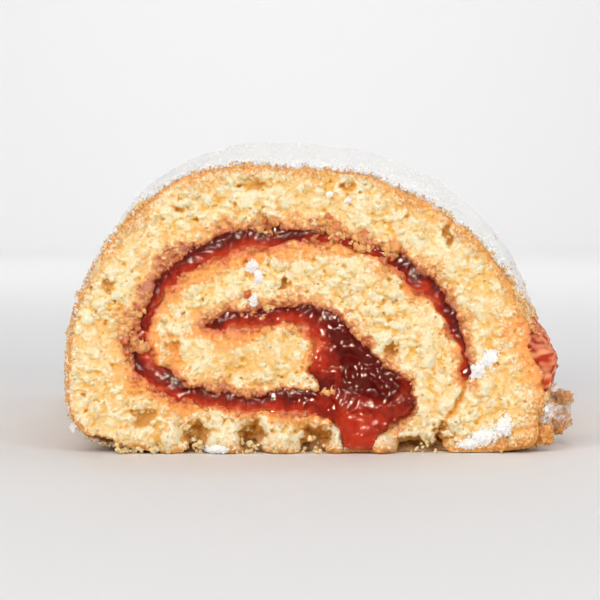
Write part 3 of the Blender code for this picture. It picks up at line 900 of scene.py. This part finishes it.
def makeSmear():
    # a patch of the crust, raised by thick * sqrt(1 - r^2) and lumps, thin at its top and closed behind; its
    # front edge folds over on to the cut face
    n, m = smear["size"]
    u, v = np.meshgrid(np.linspace(-1, 1, n), np.linspace(-1, 1, m), indexing="ij")
    across, up = u * np.sqrt(1 - v * v / 2), v * np.sqrt(1 - u * u / 2)
    height, deep = smear["middle"]
    depth = deep + across * smear["halfDepth"] * (1 - 0.3 * up + 0.12 * np.sin(5 * up + 1))
    z = height + up * smear["halfHeight"] - 0.8 * across
    fold = np.maximum(0.1 - depth, 0)
    lean = smooth(fold / 1.2)
    depth = np.maximum(depth, 0.1)
    above = (z - roll["widestZ"]) / np.where(z < roll["widestZ"], roll["drop"], roll["rise"])
    power = np.where(z < roll["widestZ"], roll["footRight"], roll["shoulderRight"])
    side = (1 - np.abs(above) ** power) ** (1 / power)
    size = np.hypot(side, above)
    x, over = crustEdge(side / size, above / size, depth)
    r = np.hypot(across, up)
    lumps = 0.8
    for spacing, high, place in smear["lumps"]:
        lumps = lumps + high * softNoise((depth - fold) / spacing, z / spacing, place)
    profile = 0.35 + 0.75 * np.exp(-((up + 0.18) / 0.45) ** 2)
    thick = smear["thick"] * profile * np.sqrt(np.clip(1 - r * r, 0, 1)) * np.clip(lumps, 0.3, 1.2)
    thick = thick - 0.5 * r**4
    x = x - 1.5 * fold
    outwards = thick * (0.25 + 0.6 * lean) + 0.3 * lean
    outer = inFrame(x + thick * 0.95 * (1 - lean), roll["widestZ"] + over + thick * 0.15, depth - outwards)
    inner = inFrame(x - 1.0 + 0.8 * lean, roll["widestZ"] + over, depth + 0.8 * lean)
    number = np.arange(n * m).reshape(n, m)
    quads = np.stack([number[:-1, :-1], number[1:, :-1], number[1:, 1:], number[:-1, 1:]], axis=-1)
    rim = np.concatenate([number[:-1, 0], number[-1, :-1], number[:0:-1, -1], number[0, :0:-1]])
    edges = np.stack([rim, np.roll(rim, -1)], axis=1)
    dark = np.clip(0.10 + 0.35 * softNoise((depth - fold) / 2, z / 2, 30.0) + 0.25 * r**3, 0, 1)
    thin = np.clip(0.7 - 1.4 * softNoise((depth - fold) / 1.1, z / 1.1, 5.0) - 0.5 * r**3, 0, 1)
    outer, inner = outer.reshape(-1, 3), inner.reshape(-1, 3)
    masks = {"dark": dark.ravel(), "thin": thin.ravel()}
    return closedSheet("jam_smear", outer, inner, quads.reshape(-1, 4), edges, masks)


jamSmear = makeSmear()


def roundBlob(level):
    # points and triangles of a unit icosphere
    graph = bmesh.new()
    bmesh.ops.create_icosphere(graph, subdivisions=level, radius=1.0)
    points = np.array([v.co[:] for v in graph.verts])
    faces = np.array([[v.index for v in f.verts] for f in graph.faces])
    graph.free()
    return points, faces


def scatterPiece(name, middles, sizes, level, knobs, seed, masks=None):
    # a dented blob at each middle (in millimetres of the frame), each turned, squashed and dented its own way
    rng = np.random.default_rng(seed)
    shape, faces = roundBlob(level)
    count = len(middles)
    turn = rng.normal(size=(count, 4))
    turn /= np.linalg.norm(turn, axis=1)[:, None]
    w, i, j, k = turn.T
    matrix = np.stack([
        1 - 2 * (j * j + k * k), 2 * (i * j - k * w), 2 * (i * k + j * w),
        2 * (i * j + k * w), 1 - 2 * (i * i + k * k), 2 * (j * k - i * w),
        2 * (i * k - j * w), 2 * (j * k + i * w), 1 - 2 * (i * i + j * j),
    ], axis=1).reshape(count, 3, 3)
    own = rng.uniform(0, 50, (count, 1, 3))
    dent = 1.0
    for octave in range(level):
        finer = np.moveaxis(shape[None] * 1.3 * 2.3**octave + own, -1, 0)
        dent = dent + knobs * 0.55**octave * softNoise(*finer)
    stretch = rng.uniform(0.7, 1.2, (count, 1, 3))
    blobs = np.einsum("nij,nvj->nvi", matrix, shape[None] * dent[..., None] * stretch) * sizes[:, None, None]
    points = (blobs + middles[:, None, :]) * mm
    allFaces = faces[None] + (np.arange(count) * len(shape))[:, None, None]
    spread = {m: np.repeat(v, len(shape)) for m, v in (masks or {}).items()}
    return makePiece(name, points.reshape(-1, 3), [allFaces.reshape(-1, 3)], spread)


def onFace(x, z, out):
    # the frame point, in millimetres, that stands out this far from the front crumb at x and z
    return inFrame(x, z, -sample(frontFields, "relief", x, z) - out) / mm


sugarClumps = {
    "heaps": [              # x, z, half-width, half-height and how many grains
        (-4.9, 38.4, 0.9, 0.9, 110),
        (-3.6, 36.2, 0.6, 1.1, 100),
        (-4.6, 31.2, 0.7, 1.3, 80),
        (41.0, 17.0, 1.4, 1.2, 160),
        (43.8, 19.6, 1.2, 1.5, 160),
        (42.4, 3.4, 2.2, 1.3, 220),
        (46.6, 5.4, 1.4, 1.8, 190),
        (39.6, 2.0, 2.0, 0.8, 100),
        (10.9, 53.0, 0.6, 0.5, 34),
        (14.6, 51.8, 0.6, 0.5, 34),
        (-12.4, 0.9, 2.4, 0.7, 110),
        (-41.6, 5.4, 0.5, 0.8, 30),
    ],
    "grain": (0.11, 0.30),
}


def makeSugarClumps():
    # heaps: a few large soft lumps in each, and grains near its middle, higher where the heap is thick
    rng = np.random.default_rng(5)
    middles, sizes = [], []
    for x, z, halfWidth, halfHeight, count in sugarClumps["heaps"]:
        for share, spread, low, high in ((0.3, 0.34, 0.4, 0.75), (3.4, 0.5, *sugarClumps["grain"])):
            number = max(int(count * share), 2)
            offset = rng.normal(size=(number, 2)) * spread
            px = x + offset[:, 0] * halfWidth + 0.25 * halfWidth * offset[:, 1]
            pz = np.maximum(z + offset[:, 1] * halfHeight, 0.5)
            lift = rng.random(number) * 1.1 * np.exp(-(offset**2).sum(1)) * (low < 0.3)
            middles.append(onFace(px, pz, lift))
            sizes.append(rng.uniform(low, high, number) * min(1.0, 0.5 + 0.5 * halfWidth))
    return scatterPiece("sugar_clumps", np.concatenate(middles), np.concatenate(sizes), 1, 0.3, 6)


sugarGrains = {
    "tries": 60000,
    "count": 8600,
    "size": (0.09, 0.22),
}


def makeSugarGrains():
    # grains over the crust, most of them where the powder is thick and along the front rim
    rng = np.random.default_rng(8)
    rings, around = crustX.shape
    tries, count = sugarGrains["tries"], sugarGrains["count"]
    chance = rng.random(tries)
    ring = np.minimum((rng.random(tries) ** 1.6 * rings).astype(int), rings - 1)
    place = (rng.random(tries) * around).astype(int)
    keep = chance < crustCover[ring, place] * 0.5 + 0.02 * (crustZ[ring, place] > 6)
    ring, place = ring[keep][:count], place[keep][:count]
    sizes = rng.uniform(*sugarGrains["size"], len(ring))
    middles = inFrame(*onCrust(ring, place, sizes * 0.2)) / mm
    middles += rng.normal(scale=0.3, size=middles.shape) * np.array([1, 1, 0.2])
    return scatterPiece("sugar_grains", middles, sizes, 1, 0.3, 9)


rimCrumbs = {
    "count": 9400,
    "size": (0.14, 0.38),
    "reach": 9.0,           # how far behind the cut faces most of them lie
}


def makeRimCrumbs():
    # rough bits of crust at both ends of the roll, fewer with distance from the cut: depth goes as the
    # square of a random share
    rng = np.random.default_rng(33)
    count = rimCrumbs["count"]
    place = rng.integers(0, crustX.shape[1], count)
    deep = rimCrumbs["reach"] * rng.random(count) ** 2 * rng.uniform(0.3, 1.6, count)
    front = rng.random(count) < 0.7
    wanted = np.where(front, deep, roll["length"] - deep)
    ring = np.abs(crustDepth[:, 0][:, None] - wanted[None]).argmin(axis=0)
    keep = crustZ[ring, place] > 1.0
    ring, place = ring[keep], place[keep]
    sizes = rng.uniform(*rimCrumbs["size"], len(ring))
    middles = inFrame(*onCrust(ring, place, -0.25)) / mm
    middles += rng.normal(scale=0.2, size=middles.shape)
    middles[:, 2] = np.maximum(middles[:, 2], 0.5)
    onLeft = (crustX[ring, place] < -25) * (crustZ[ring, place] < 46)
    sugar = crustCover[ring, place] * 0.9 + rng.uniform(-0.45, 0.3, len(ring)) + 0.45 * onLeft
    masks = {
        "sugar": np.clip(sugar, 0, 1),
        "footBrowningAndShade": np.zeros(len(ring)),
        "tone": rng.uniform(0.0, 1.0, len(ring)),
    }
    return scatterPiece("rim_crumbs", middles, sizes, 1, 0.5, 34, masks)


looseCrumbs = {
    "tries": 40000,
    "count": 1980,
    "size": (0.18, 0.50),
    "clusters": [           # x, z, spread, size and number of the stained lumps that lie over the jam
        (9.5, 47.0, 1.8, 0.7, 20),
        (13.0, 44.8, 2.0, 0.85, 26),
        (17.6, 43.0, 1.7, 1.0, 24),
        (22.8, 41.2, 1.7, 1.0, 24),
        (8.6, 42.8, 2.2, 0.6, 16),
        (-1.0, 46.4, 2.6, 0.6, 18),
        (-5.0, 29.4, 2.4, 0.8, 20),
        (1.0, 30.4, 2.0, 0.7, 14),
        (-28.2, 22.2, 1.5, 1.0, 24),
        (-28.0, 28.6, 1.4, 0.7, 18),
        (10.7, 12.9, 0.7, 0.7, 5),
    ],
    "footClusters": [
        (-30.0, 1.6, 3.0, 0.9, 26),
        (-23.0, 1.4, 2.4, 1.0, 22),
        (-16.0, 1.2, 1.4, 0.7, 12),
        (-9.0, 1.2, 2.6, 0.9, 20),
        (-4.6, 1.0, 1.6, 0.6, 10),
        (1.8, 1.4, 2.4, 0.9, 18),
        (8.0, 1.2, 2.4, 0.7, 14),
        (14.0, 1.6, 1.6, 0.9, 12),
        (21.4, 1.4, 1.8, 0.9, 12),
        (30.0, 1.0, 2.6, 0.6, 12),
        (37.0, 1.2, 1.6, 0.8, 10),
    ],
}


def makeLooseCrumbs():
    # torn bits of crumb over the front face, more along the jam and the foot, and in clusters over the jam
    rng = np.random.default_rng(15)
    tries, count = looseCrumbs["tries"], looseCrumbs["count"]
    x, z = rng.uniform(-44, 57, tries), rng.uniform(1.0, 59, tries)
    edge, jam, drip = (sample(frontFields, n, x, z) for n in ("edge", "jam", "drip"))
    overJam = (sample(frontFields, "layer", x, z) > 0.25) * np.exp(-np.abs(jam + 0.1) / 0.6)
    wanted = 0.02 + 0.16 * np.exp(-np.abs(jam - 0.4) / 0.9) + 0.02 * (z < 9) + 0.55 * overJam
    keep = (edge > 0.8) & (drip > 0.8) & (jam > -1.2 * overJam - 0.2) & (rng.random(tries) < wanted)
    x, z, jam = (part[keep][:count] for part in (x, z, jam))
    sizes = [rng.uniform(*looseCrumbs["size"], len(x))]
    stains = [np.clip(1.0 - np.maximum(jam - 0.2, 0) / 4.0, 0, 1)]
    middles = [onFace(x, z, -sizes[0] * 0.1)]
    # the clusters: their table, a factor on their sizes, and how far out and how stained they may be
    for table, share, outs, reds in (
        ("clusters", 1.0, (-0.8, 0.2), (0.3, 1.0)),
        ("footClusters", 0.7, (-2.0, 0.4), (0.0, 0.2)),
    ):
        for x, z, spread, size, count in looseCrumbs[table]:
            x, z = rng.normal(x, spread * 0.6, count), rng.normal(z, spread * 0.45, count)
            sizes.append(rng.uniform(0.45, 1.15, count) * size * share)
            if table == "footClusters":
                z = np.maximum(z, sizes[-1] * 1.1)
            middles.append(inFrame(x, z, -rng.uniform(*outs, count)) / mm)
            stains.append(rng.uniform(*reds, count))
    sizes = np.concatenate(sizes)
    masks = {
        "stain": np.concatenate(stains),
        "brownness": rng.uniform(0.2, 0.9, len(sizes)),
        "golden": rng.uniform(0.0, 0.6, len(sizes)),
    }
    return scatterPiece("loose_crumbs", np.concatenate(middles), sizes, 2, 0.75, 16, masks)


print("scattering sugar and crumbs")
heapsPiece = makeSugarClumps()
grainsPiece = makeSugarGrains()
crumbBits = makeLooseCrumbs()
rimBits = makeRimCrumbs()


# torn crust low on the right side
tornCrust = [
    # x, z, depth, radius and how much sugar lies on it
    (55.2, 3.8, 3.4, 2.6, 0.2),
    (55.6, 8.2, 3.8, 2.2, 0.55),
    (46.4, 1.9, 0.2, 1.3, 0.1),
    (50.6, 2.0, 0.3, 1.1, 0.2),
    (57.6, 6.4, 20.0, 3.2, 0.46),
    (60.6, 7.6, 22.0, 2.6, 0.5),
    (60.0, 4.6, 18.6, 2.2, 0.4),
    (57.6, 8.8, 25.0, 2.8, 0.55),
    (61.4, 9.6, 19.6, 1.5, 0.46),
]


def makeTornCrust():
    # craggy lumps that stand out of the crust
    rows = np.array(tornCrust)
    x, z = followRoll(rows[:, 0], rows[:, 1], rows[:, 2])
    middles = inFrame(x, z, rows[:, 2]) / mm
    masks = {"sugar": rows[:, 4], "footBrowningAndShade": np.zeros(len(rows)), "tone": np.full(len(rows), 0.8)}
    return scatterPiece("torn_crust", middles, rows[:, 3] * 1.02, 6, 0.4, 21, masks)


crustKnob = makeTornCrust()


# base colours
palette = {
    # crumbPale is the crumb's pale colour and also its painted highlight on the ridges
    "crumbPale": (0.92, 0.83, 0.56),
    "crumb": (0.90, 0.73, 0.36),
    # crumbGold is both the crumb's golden tint and painted shade in its pits
    "crumbGold": (0.87, 0.46, 0.06),
    # painted shade in deep pits and recesses
    "crumbShade": (0.64, 0.30, 0.045),
    "stainOrange": (0.96, 0.40, 0.08),
    "stainRed": (0.74, 0.16, 0.03),
    "stainPink": (0.86, 0.42, 0.12),
    "stainBrown": (0.52, 0.13, 0.03),
    "crustPale": (0.97, 0.70, 0.34),
    "crustGold": (0.93, 0.46, 0.11),
    "crustBrown": (0.68, 0.26, 0.05),
    # the darker foot: partly browner crust, partly painted shade
    "crustDark": (0.26, 0.10, 0.03),
    "powder": (0.95, 0.94, 0.93),
    "sugar": (0.99, 0.98, 0.965),
    "sugarShade": (0.96, 0.94, 0.92),
    "jamThin": (0.86, 0.32, 0.15),
    "jamFilm": (0.68, 0.13, 0.04),
    "jamBright": (0.50, 0.036, 0.011),
    "jamMid": (0.28, 0.014, 0.005),
    "jamDark": (0.11, 0.004, 0.003),
}


def plug(tree, socket, value):
    # links a socket to another one, or gives it a value
    if isinstance(value, bpy.types.NodeSocket):
        tree.links.new(value, socket)
    else:
        socket.default_value = (*value, 1) if isinstance(value, tuple) else value


def newNode(tree, kind, inputs=None, **settings):
    made = tree.nodes.new(kind)
    for name, value in settings.items():
        setattr(made, name, value)
    for name, value in (inputs or {}).items():
        plug(tree, made.inputs[name], value)
    return made


def colourMix(tree, share, low, high):
    # low where share is 0 and high where it is 1; each may be a colour or a socket
    made = newNode(tree, "ShaderNodeMix", data_type="RGBA")
    for number, value in ((0, share), (6, low), (7, high)):
        plug(tree, made.inputs[number], value)
    return made.outputs[2]


def maths(tree, operation, a, b=0.0, c=0.0, clamp=False):
    made = newNode(tree, "ShaderNodeMath", operation=operation, use_clamp=clamp)
    for socket, value in zip(made.inputs, (a, b, c)):
        plug(tree, socket, value)
    return made.outputs[0]


def mapRange(tree, value, low, high, toLow=0.0, toHigh=1.0):
    made = newNode(tree, "ShaderNodeMapRange", interpolation_type="SMOOTHSTEP")
    for socket, number in zip(made.inputs, (value, low, high, toLow, toHigh)):
        plug(tree, socket, number)
    return made.outputs[0]


def layered(tree, colour, *layers):
    # colours laid over one another: each has a mask, the range of it over which the layer comes in, a colour
    for mask, low, high, over in layers:
        colour = colourMix(tree, mapRange(tree, mask, low, high), colour, over)
    return colour


def varied(tree, mask, much, value):
    # the value plus much times mask - 0.5
    return maths(tree, "MULTIPLY_ADD", maths(tree, "SUBTRACT", mask, 0.5), much, value)


def attribute(tree, name):
    return newNode(tree, "ShaderNodeAttribute", attribute_name=name).outputs["Fac"]


def noiseOf(tree, scale, detail, **more):
    place = newNode(tree, "ShaderNodeTexCoord").outputs["Object"]
    given = {"Vector": place, "Scale": scale, "Detail": detail, **more}
    return newNode(tree, "ShaderNodeTexNoise", given).outputs["Fac"]


def newGroup(name, inputs, outputs):
    group = bpy.data.node_groups.new(name, "ShaderNodeTree")
    for socket, value in inputs.items():
        made = group.interface.new_socket(socket, in_out="INPUT", socket_type="NodeSocketFloat")
        made.default_value = value
    for socket in outputs:
        group.interface.new_socket(socket, in_out="OUTPUT", socket_type="NodeSocketFloat")
    return group, group.nodes.new("NodeGroupInput").outputs, group.nodes.new("NodeGroupOutput").inputs


def makeGrainGroup():
    # fine grain: coarse noise and little pits; puts out a height and a mask, both about 0 to 1
    group, given, wanted = newGroup("fineGrain", {"Scale": 1000.0, "Pits": 0.5}, ["Height", "Mask"])
    coarse = noiseOf(group, given["Scale"], 5.0, Roughness=0.65)
    place = newNode(group, "ShaderNodeTexCoord").outputs["Object"]
    inputs = {"Vector": place, "Scale": maths(group, "MULTIPLY", given["Scale"], 2.7)}
    pits = newNode(group, "ShaderNodeTexVoronoi", inputs, feature="SMOOTH_F1").outputs["Distance"]
    pitted = maths(group, "MULTIPLY", mapRange(group, pits, 0.15, 0.75), given["Pits"])
    group.links.new(maths(group, "ADD", coarse, pitted), wanted["Height"])
    group.links.new(mapRange(group, coarse, 0.35, 0.65), wanted["Mask"])
    return group


def makeDustGroup():
    # powder: a cover from 0 to 1 broken into specks, so that it is patchy at its edges and whole where thick
    group, given, wanted = newGroup("powderDust", {"Cover": 0.5, "Scale": 900.0}, ["Mask", "Height"])
    specks = noiseOf(group, given["Scale"], 6.0, Roughness=0.7)
    patches = noiseOf(group, maths(group, "MULTIPLY", given["Scale"], 0.22), 3.0)
    specks, patches = maths(group, "MULTIPLY", specks, 0.65), maths(group, "MULTIPLY", patches, 0.35)
    both = maths(group, "ADD", specks, patches)
    covered = maths(group, "ADD", maths(group, "MULTIPLY", given["Cover"], 0.62), both)
    over = maths(group, "SUBTRACT", covered, 0.78)
    group.links.new(mapRange(group, over, -0.07, 0.12), wanted["Mask"])
    group.links.new(both, wanted["Height"])
    return group


grainGroup = makeGrainGroup()
dustGroup = makeDustGroup()


def useGroup(tree, group, **values):
    made = newNode(tree, "ShaderNodeGroup", node_tree=group)
    for name, value in values.items():
        plug(tree, made.inputs[name], value)
    return made.outputs


def newMaterial(name, constants):
    made = bpy.data.materials.new(name)
    made.use_nodes = True
    shader = made.node_tree.nodes["Principled BSDF"]
    for socket, value in constants.items():
        shader.inputs[socket].default_value = value
    return made, made.node_tree, shader


def addBump(tree, shader, height, distance, strength):
    bump = newNode(tree, "ShaderNodeBump", {"Height": height, "Distance": distance, "Strength": strength})
    tree.links.new(bump.outputs[0], shader.inputs["Normal"])


def makeCrumbMaterial():
    made, tree, shader = newMaterial("crumb", {
        "Specular IOR Level": 0.25,
        "Subsurface Weight": 0.35,
        "Subsurface Radius": (1.0, 0.8, 0.5),
        "Subsurface Scale": 0.0008,
    })
    grain = useGroup(tree, grainGroup, Scale=1500.0, Pits=0.5)
    broad = useGroup(tree, grainGroup, Scale=260.0, Pits=0.2)
    patches = useGroup(tree, grainGroup, Scale=95.0, Pits=0.2)
    cavityShade, brownness, stain = (attribute(tree, name) for name in ("cavityShade", "brownness", "stain"))
    patchy = maths(tree, "MULTIPLY", patches["Mask"], 0.12)
    golden = maths(tree, "MULTIPLY_ADD", attribute(tree, "golden"), 0.6, patchy)
    # painted shade in the pits, mixed with fine specks of the grain
    specksAndPitShade = maths(tree, "MULTIPLY_ADD", maths(tree, "SUBTRACT", 0.5, grain["Mask"]), 0.30, cavityShade)
    colour = colourMix(tree, broad["Mask"], palette["crumbPale"], palette["crumb"])
    # painted highlight on the ridges (paler) and painted shade in pits, deep pits and recesses (golden, then
    # deep brown); the golden tint before them is the crumb's own colour
    colour = layered(
        tree, colourMix(tree, golden, colour, palette["crumbGold"]),
        (cavityShade, 0.0, -0.3, palette["crumbPale"]),
        (specksAndPitShade, -0.02, 0.42, palette["crumbGold"]),
        (cavityShade, 0.45, 1.0, palette["crumbShade"]),
        (attribute(tree, "hollowShade"), 0.25, 0.95, palette["crumbShade"]),
    )
    uneven = maths(tree, "MULTIPLY", maths(tree, "SUBTRACT", grain["Mask"], 0.5), 0.4)
    stained = maths(tree, "ADD", stain, uneven, clamp=True)
    near = varied(tree, broad["Mask"], 0.25, stain)
    soaked = mapRange(tree, maths(tree, "MULTIPLY_ADD", brownness, 0.08, near), 0.5, 1.0)
    light = colourMix(tree, brownness, palette["stainOrange"], palette["stainPink"])
    deep = colourMix(tree, brownness, palette["stainRed"], palette["stainBrown"])
    toast = colourMix(tree, grain["Mask"], palette["crustGold"], palette["crustBrown"])
    crustShare = maths(tree, "ADD", attribute(tree, "crustTone"), uneven, clamp=True)
    colour = colourMix(tree, soaked, layered(tree, colour, (stained, 0.0, 0.55, light)), deep)
    colour = layered(tree, colour, (crustShare, 0.15, 0.95, toast))
    tree.links.new(colour, shader.inputs["Base Color"])
    tree.links.new(maths(tree, "MULTIPLY_ADD", soaked, -0.4, 0.85), shader.inputs["Roughness"])
    addBump(tree, shader, grain["Height"], 0.0005, 0.4)
    return made


def makeCrustMaterial():
    made, tree, shader = newMaterial("crustAndSugar", {
        "Specular IOR Level": 0.25,
        "Subsurface Weight": 0.2,
        "Subsurface Radius": (1.0, 0.7, 0.4),
        "Subsurface Scale": 0.0008,
    })
    grain = useGroup(tree, grainGroup, Scale=900.0, Pits=0.6)
    broad = useGroup(tree, grainGroup, Scale=120.0, Pits=0.2)
    dust = useGroup(tree, dustGroup, Cover=attribute(tree, "sugar"), Scale=1100.0)
    toned = varied(tree, broad["Mask"], 0.3, varied(tree, grain["Mask"], 0.7, attribute(tree, "tone")))
    colour = layered(
        tree, palette["crustPale"],
        (toned, 0.1, 0.45, palette["crustGold"]),
        (toned, 0.5, 1.1, palette["crustBrown"]),
    )
    # the foot darkened, partly browner crust and partly painted shade
    darker = maths(tree, "MULTIPLY", attribute(tree, "footBrowningAndShade"), 0.7)
    colour = colourMix(tree, darker, colour, palette["crustDark"])
    colour = colourMix(tree, dust["Mask"], colour, palette["powder"])
    tree.links.new(colour, shader.inputs["Base Color"])
    tree.links.new(maths(tree, "MULTIPLY_ADD", dust["Mask"], 0.25, 0.65), shader.inputs["Roughness"])
    bared = maths(tree, "SUBTRACT", 1.2, dust["Mask"])
    addBump(tree, shader, maths(tree, "MULTIPLY", grain["Height"], bared), 0.0005, 0.6)
    return made


def makeSugarMaterial():
    made, tree, shader = newMaterial("icingSugar", {"Roughness": 0.9, "Specular IOR Level": 0.2})
    grain = useGroup(tree, grainGroup, Scale=2500.0, Pits=0.3)
    colour = colourMix(tree, grain["Mask"], palette["sugar"], palette["sugarShade"])
    tree.links.new(colour, shader.inputs["Base Color"])
    addBump(tree, shader, grain["Height"], 0.0002, 0.4)
    return made


def makeJamMaterial():
    made, tree, shader = newMaterial("jam", {
        "IOR": 1.45,
        "Subsurface Weight": 0.35,
        "Subsurface Radius": (1.0, 0.12, 0.05),
        "Subsurface Scale": 0.002,
        "Specular IOR Level": 0.3,
        "Specular Tint": (1.0, 0.7, 0.55, 1.0),
    })
    broad = useGroup(tree, grainGroup, Scale=420.0, Pits=0.3)
    fine = useGroup(tree, grainGroup, Scale=1400.0, Pits=0.4)
    depth = varied(tree, broad["Mask"], 0.16, attribute(tree, "dark"))
    colour = layered(
        tree, palette["jamFilm"],
        (depth, 0.0, 0.2, palette["jamBright"]),
        (depth, 0.22, 0.6, palette["jamMid"]),
        (depth, 0.55, 1.0, palette["jamDark"]),
    )
    colour = colourMix(tree, attribute(tree, "thin"), colour, palette["jamThin"])
    tree.links.new(colour, shader.inputs["Base Color"])
    tree.links.new(mapRange(tree, fine["Mask"], 0.0, 1.0, 0.02, 0.06), shader.inputs["Roughness"])
    addBump(tree, shader, broad["Height"], 0.0006, 0.2)
    return made


crumbMaterial = makeCrumbMaterial()
crustMaterial = makeCrustMaterial()
sugarMaterial = makeSugarMaterial()
jamMaterial = makeJamMaterial()

for piece, finish, slot in (
    (crumbFront, crumbMaterial, "sponge"),
    (crumbBack, crumbMaterial, "sponge"),
    (crustBody, crustMaterial, "sponge"),
    (crustKnob, crustMaterial, "sponge"),
    (crumbBits, crumbMaterial, "sponge"),
    (rimBits, crustMaterial, "sponge"),
    (jamBody, jamMaterial, "jam"),
    (jamDrip, jamMaterial, "jam"),
    (jamSmear, jamMaterial, "jam"),
    (heapsPiece, sugarMaterial, "icing_sugar"),
    (grainsPiece, sugarMaterial, "icing_sugar"),
):
    piece.data.materials.append(finish)
    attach(piece, "root")
for piece in (crumbFront, crumbBack, crustBody, crustKnob, crumbBits, rimBits):
    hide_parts("sponge")
for piece in (jamBody, jamDrip):
    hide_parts("jam")
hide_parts("jam_smear")
print("finishes applied")


# floor, light and camera, in metres where nothing else is said
studio = {
    "world": (0.9, 0.895, 0.9),
    "worldStrength": 0.11,
    "floor": (0.86, 0.855, 0.86),
    "lights": [             # name, place, target, size, watts and colour
        ("key", (-0.50, -0.76, 0.54), (0.0, -0.05, 0.02), (0.60, 0.60), 4.45, (1.0, 0.985, 0.96)),
        ("soft", (0.05, -0.85, 0.75), (0.0, -0.05, 0.02), (0.90, 0.60), 3.25, (1.0, 1.0, 1.0)),
        ("fill", (0.75, -0.80, 0.40), (0.0, 0.0, 0.03), (0.50, 0.50), 3.05, (1.0, 1.0, 1.0)),
        ("top", (0.05, 0.40, 0.95), (0.0, 0.25, 0.0), (1.20, 0.60), 2.7, (1.0, 1.0, 1.0)),
        ("side", (0.80, 0.30, 0.45), (0.0, 0.0, 0.03), (0.60, 0.50), 1.2, (1.0, 1.0, 1.0)),
        ("backdrop", (0.0, 0.9, 1.3), (0.0, 2.0, 0.5), (1.6, 0.8), 17.6, (1.0, 0.995, 1.0)),
    ],
    "glints": [             # the same, for lights that only show as reflections in the jam
        ("glintLeft", (-0.50, -0.80, 0.50), (0.0, -0.05, 0.02), (0.30, 0.12), 30.0, (1.0, 1.0, 1.0)),
        ("glintTop", (0.08, -0.72, 0.72), (0.0, -0.05, 0.02), (0.24, 0.09), 20.0, (1.0, 1.0, 1.0)),
        ("glintRight", (0.62, -0.80, 0.30), (0.0, -0.05, 0.02), (0.09, 0.18), 11.0, (1.0, 1.0, 1.0)),
    ],
    "cameraDistance": 450.0,    # from the cut face, in millimetres
    "cameraHeight": 52.0,
    "cameraX": -5.55,
    "azimuth": -1.0,            # degrees
    "pitch": -2.6,
    "lens": 132.3,
}


def makeFloor():
    # a wide flat floor whose far part turns up into a wall, as one sheet
    mesh = bpy.data.meshes.new("floor")
    s = np.linspace(0, 1, 60)
    y = np.interp(s, [0, 0.6, 0.75, 1.0], [-1.5, 1.6, 2.0, 2.0])
    bend = 0.4 * (1 - np.cos((s - 0.6) / 0.15 * np.pi / 2))
    z = np.where(s < 0.6, 0.0, np.where(s < 0.75, bend, 0.4 + (s - 0.75) * 8))
    x = np.array([-3.0, 3.0])
    points = np.stack([np.repeat(x, 60), np.tile(y, 2), np.tile(z, 2)], axis=1)
    row = np.arange(59)
    mesh.from_pydata(points.tolist(), [], np.stack([row, row + 60, row + 61, row + 1], axis=1).tolist())
    floor = bpy.data.objects.new("floor", mesh)
    bpy.context.scene.collection.objects.link(floor)
    mesh.polygons.foreach_set("use_smooth", np.full(59, True))
    colour = (*studio["floor"], 1)
    made, _, _ = newMaterial("floor", {"Base Color": colour, "Roughness": 0.7, "Specular IOR Level": 0.2})
    mesh.materials.append(made)


def addLight(name, place, target, size, power, colour):
    lamp = bpy.data.lights.new(name, "AREA")
    lamp.shape = "RECTANGLE"
    lamp.size, lamp.size_y = size
    lamp.energy = power
    lamp.color = colour
    light = bpy.data.objects.new(name, lamp)
    light.location = place
    light.rotation_euler = (Vector(target) - Vector(place)).to_track_quat("-Z", "Y").to_euler()
    bpy.context.scene.collection.objects.link(light)
    return light


makeFloor()
for light in studio["lights"]:
    addLight(*light).visible_glossy = False
for light in studio["glints"]:
    addLight(*light).visible_diffuse = False

scene = bpy.context.scene
scene.view_settings.view_transform = "Standard"
scene.world = bpy.data.worlds.new("studio")
scene.world.use_nodes = True
background = scene.world.node_tree.nodes["Background"]
background.inputs["Color"].default_value = (*studio["world"], 1)
background.inputs["Strength"].default_value = studio["worldStrength"]

camera = bpy.data.objects.new("camera", bpy.data.cameras.new("camera"))
camera.data.lens = studio["lens"]
camera.data.sensor_width = 36
camera.data.clip_start = 0.05
aim = math.radians(studio["azimuth"])
reach = studio["cameraDistance"]
camera.location = (
    (studio["cameraX"] + reach * math.sin(aim)) * mm,
    (-roll["middleDepth"] - reach * math.cos(aim)) * mm,
    studio["cameraHeight"] * mm,
)
camera.rotation_euler = (math.radians(90 + studio["pitch"]), 0, aim)
scene.collection.objects.link(camera)
scene.camera = camera
print("floor, light and camera ready")
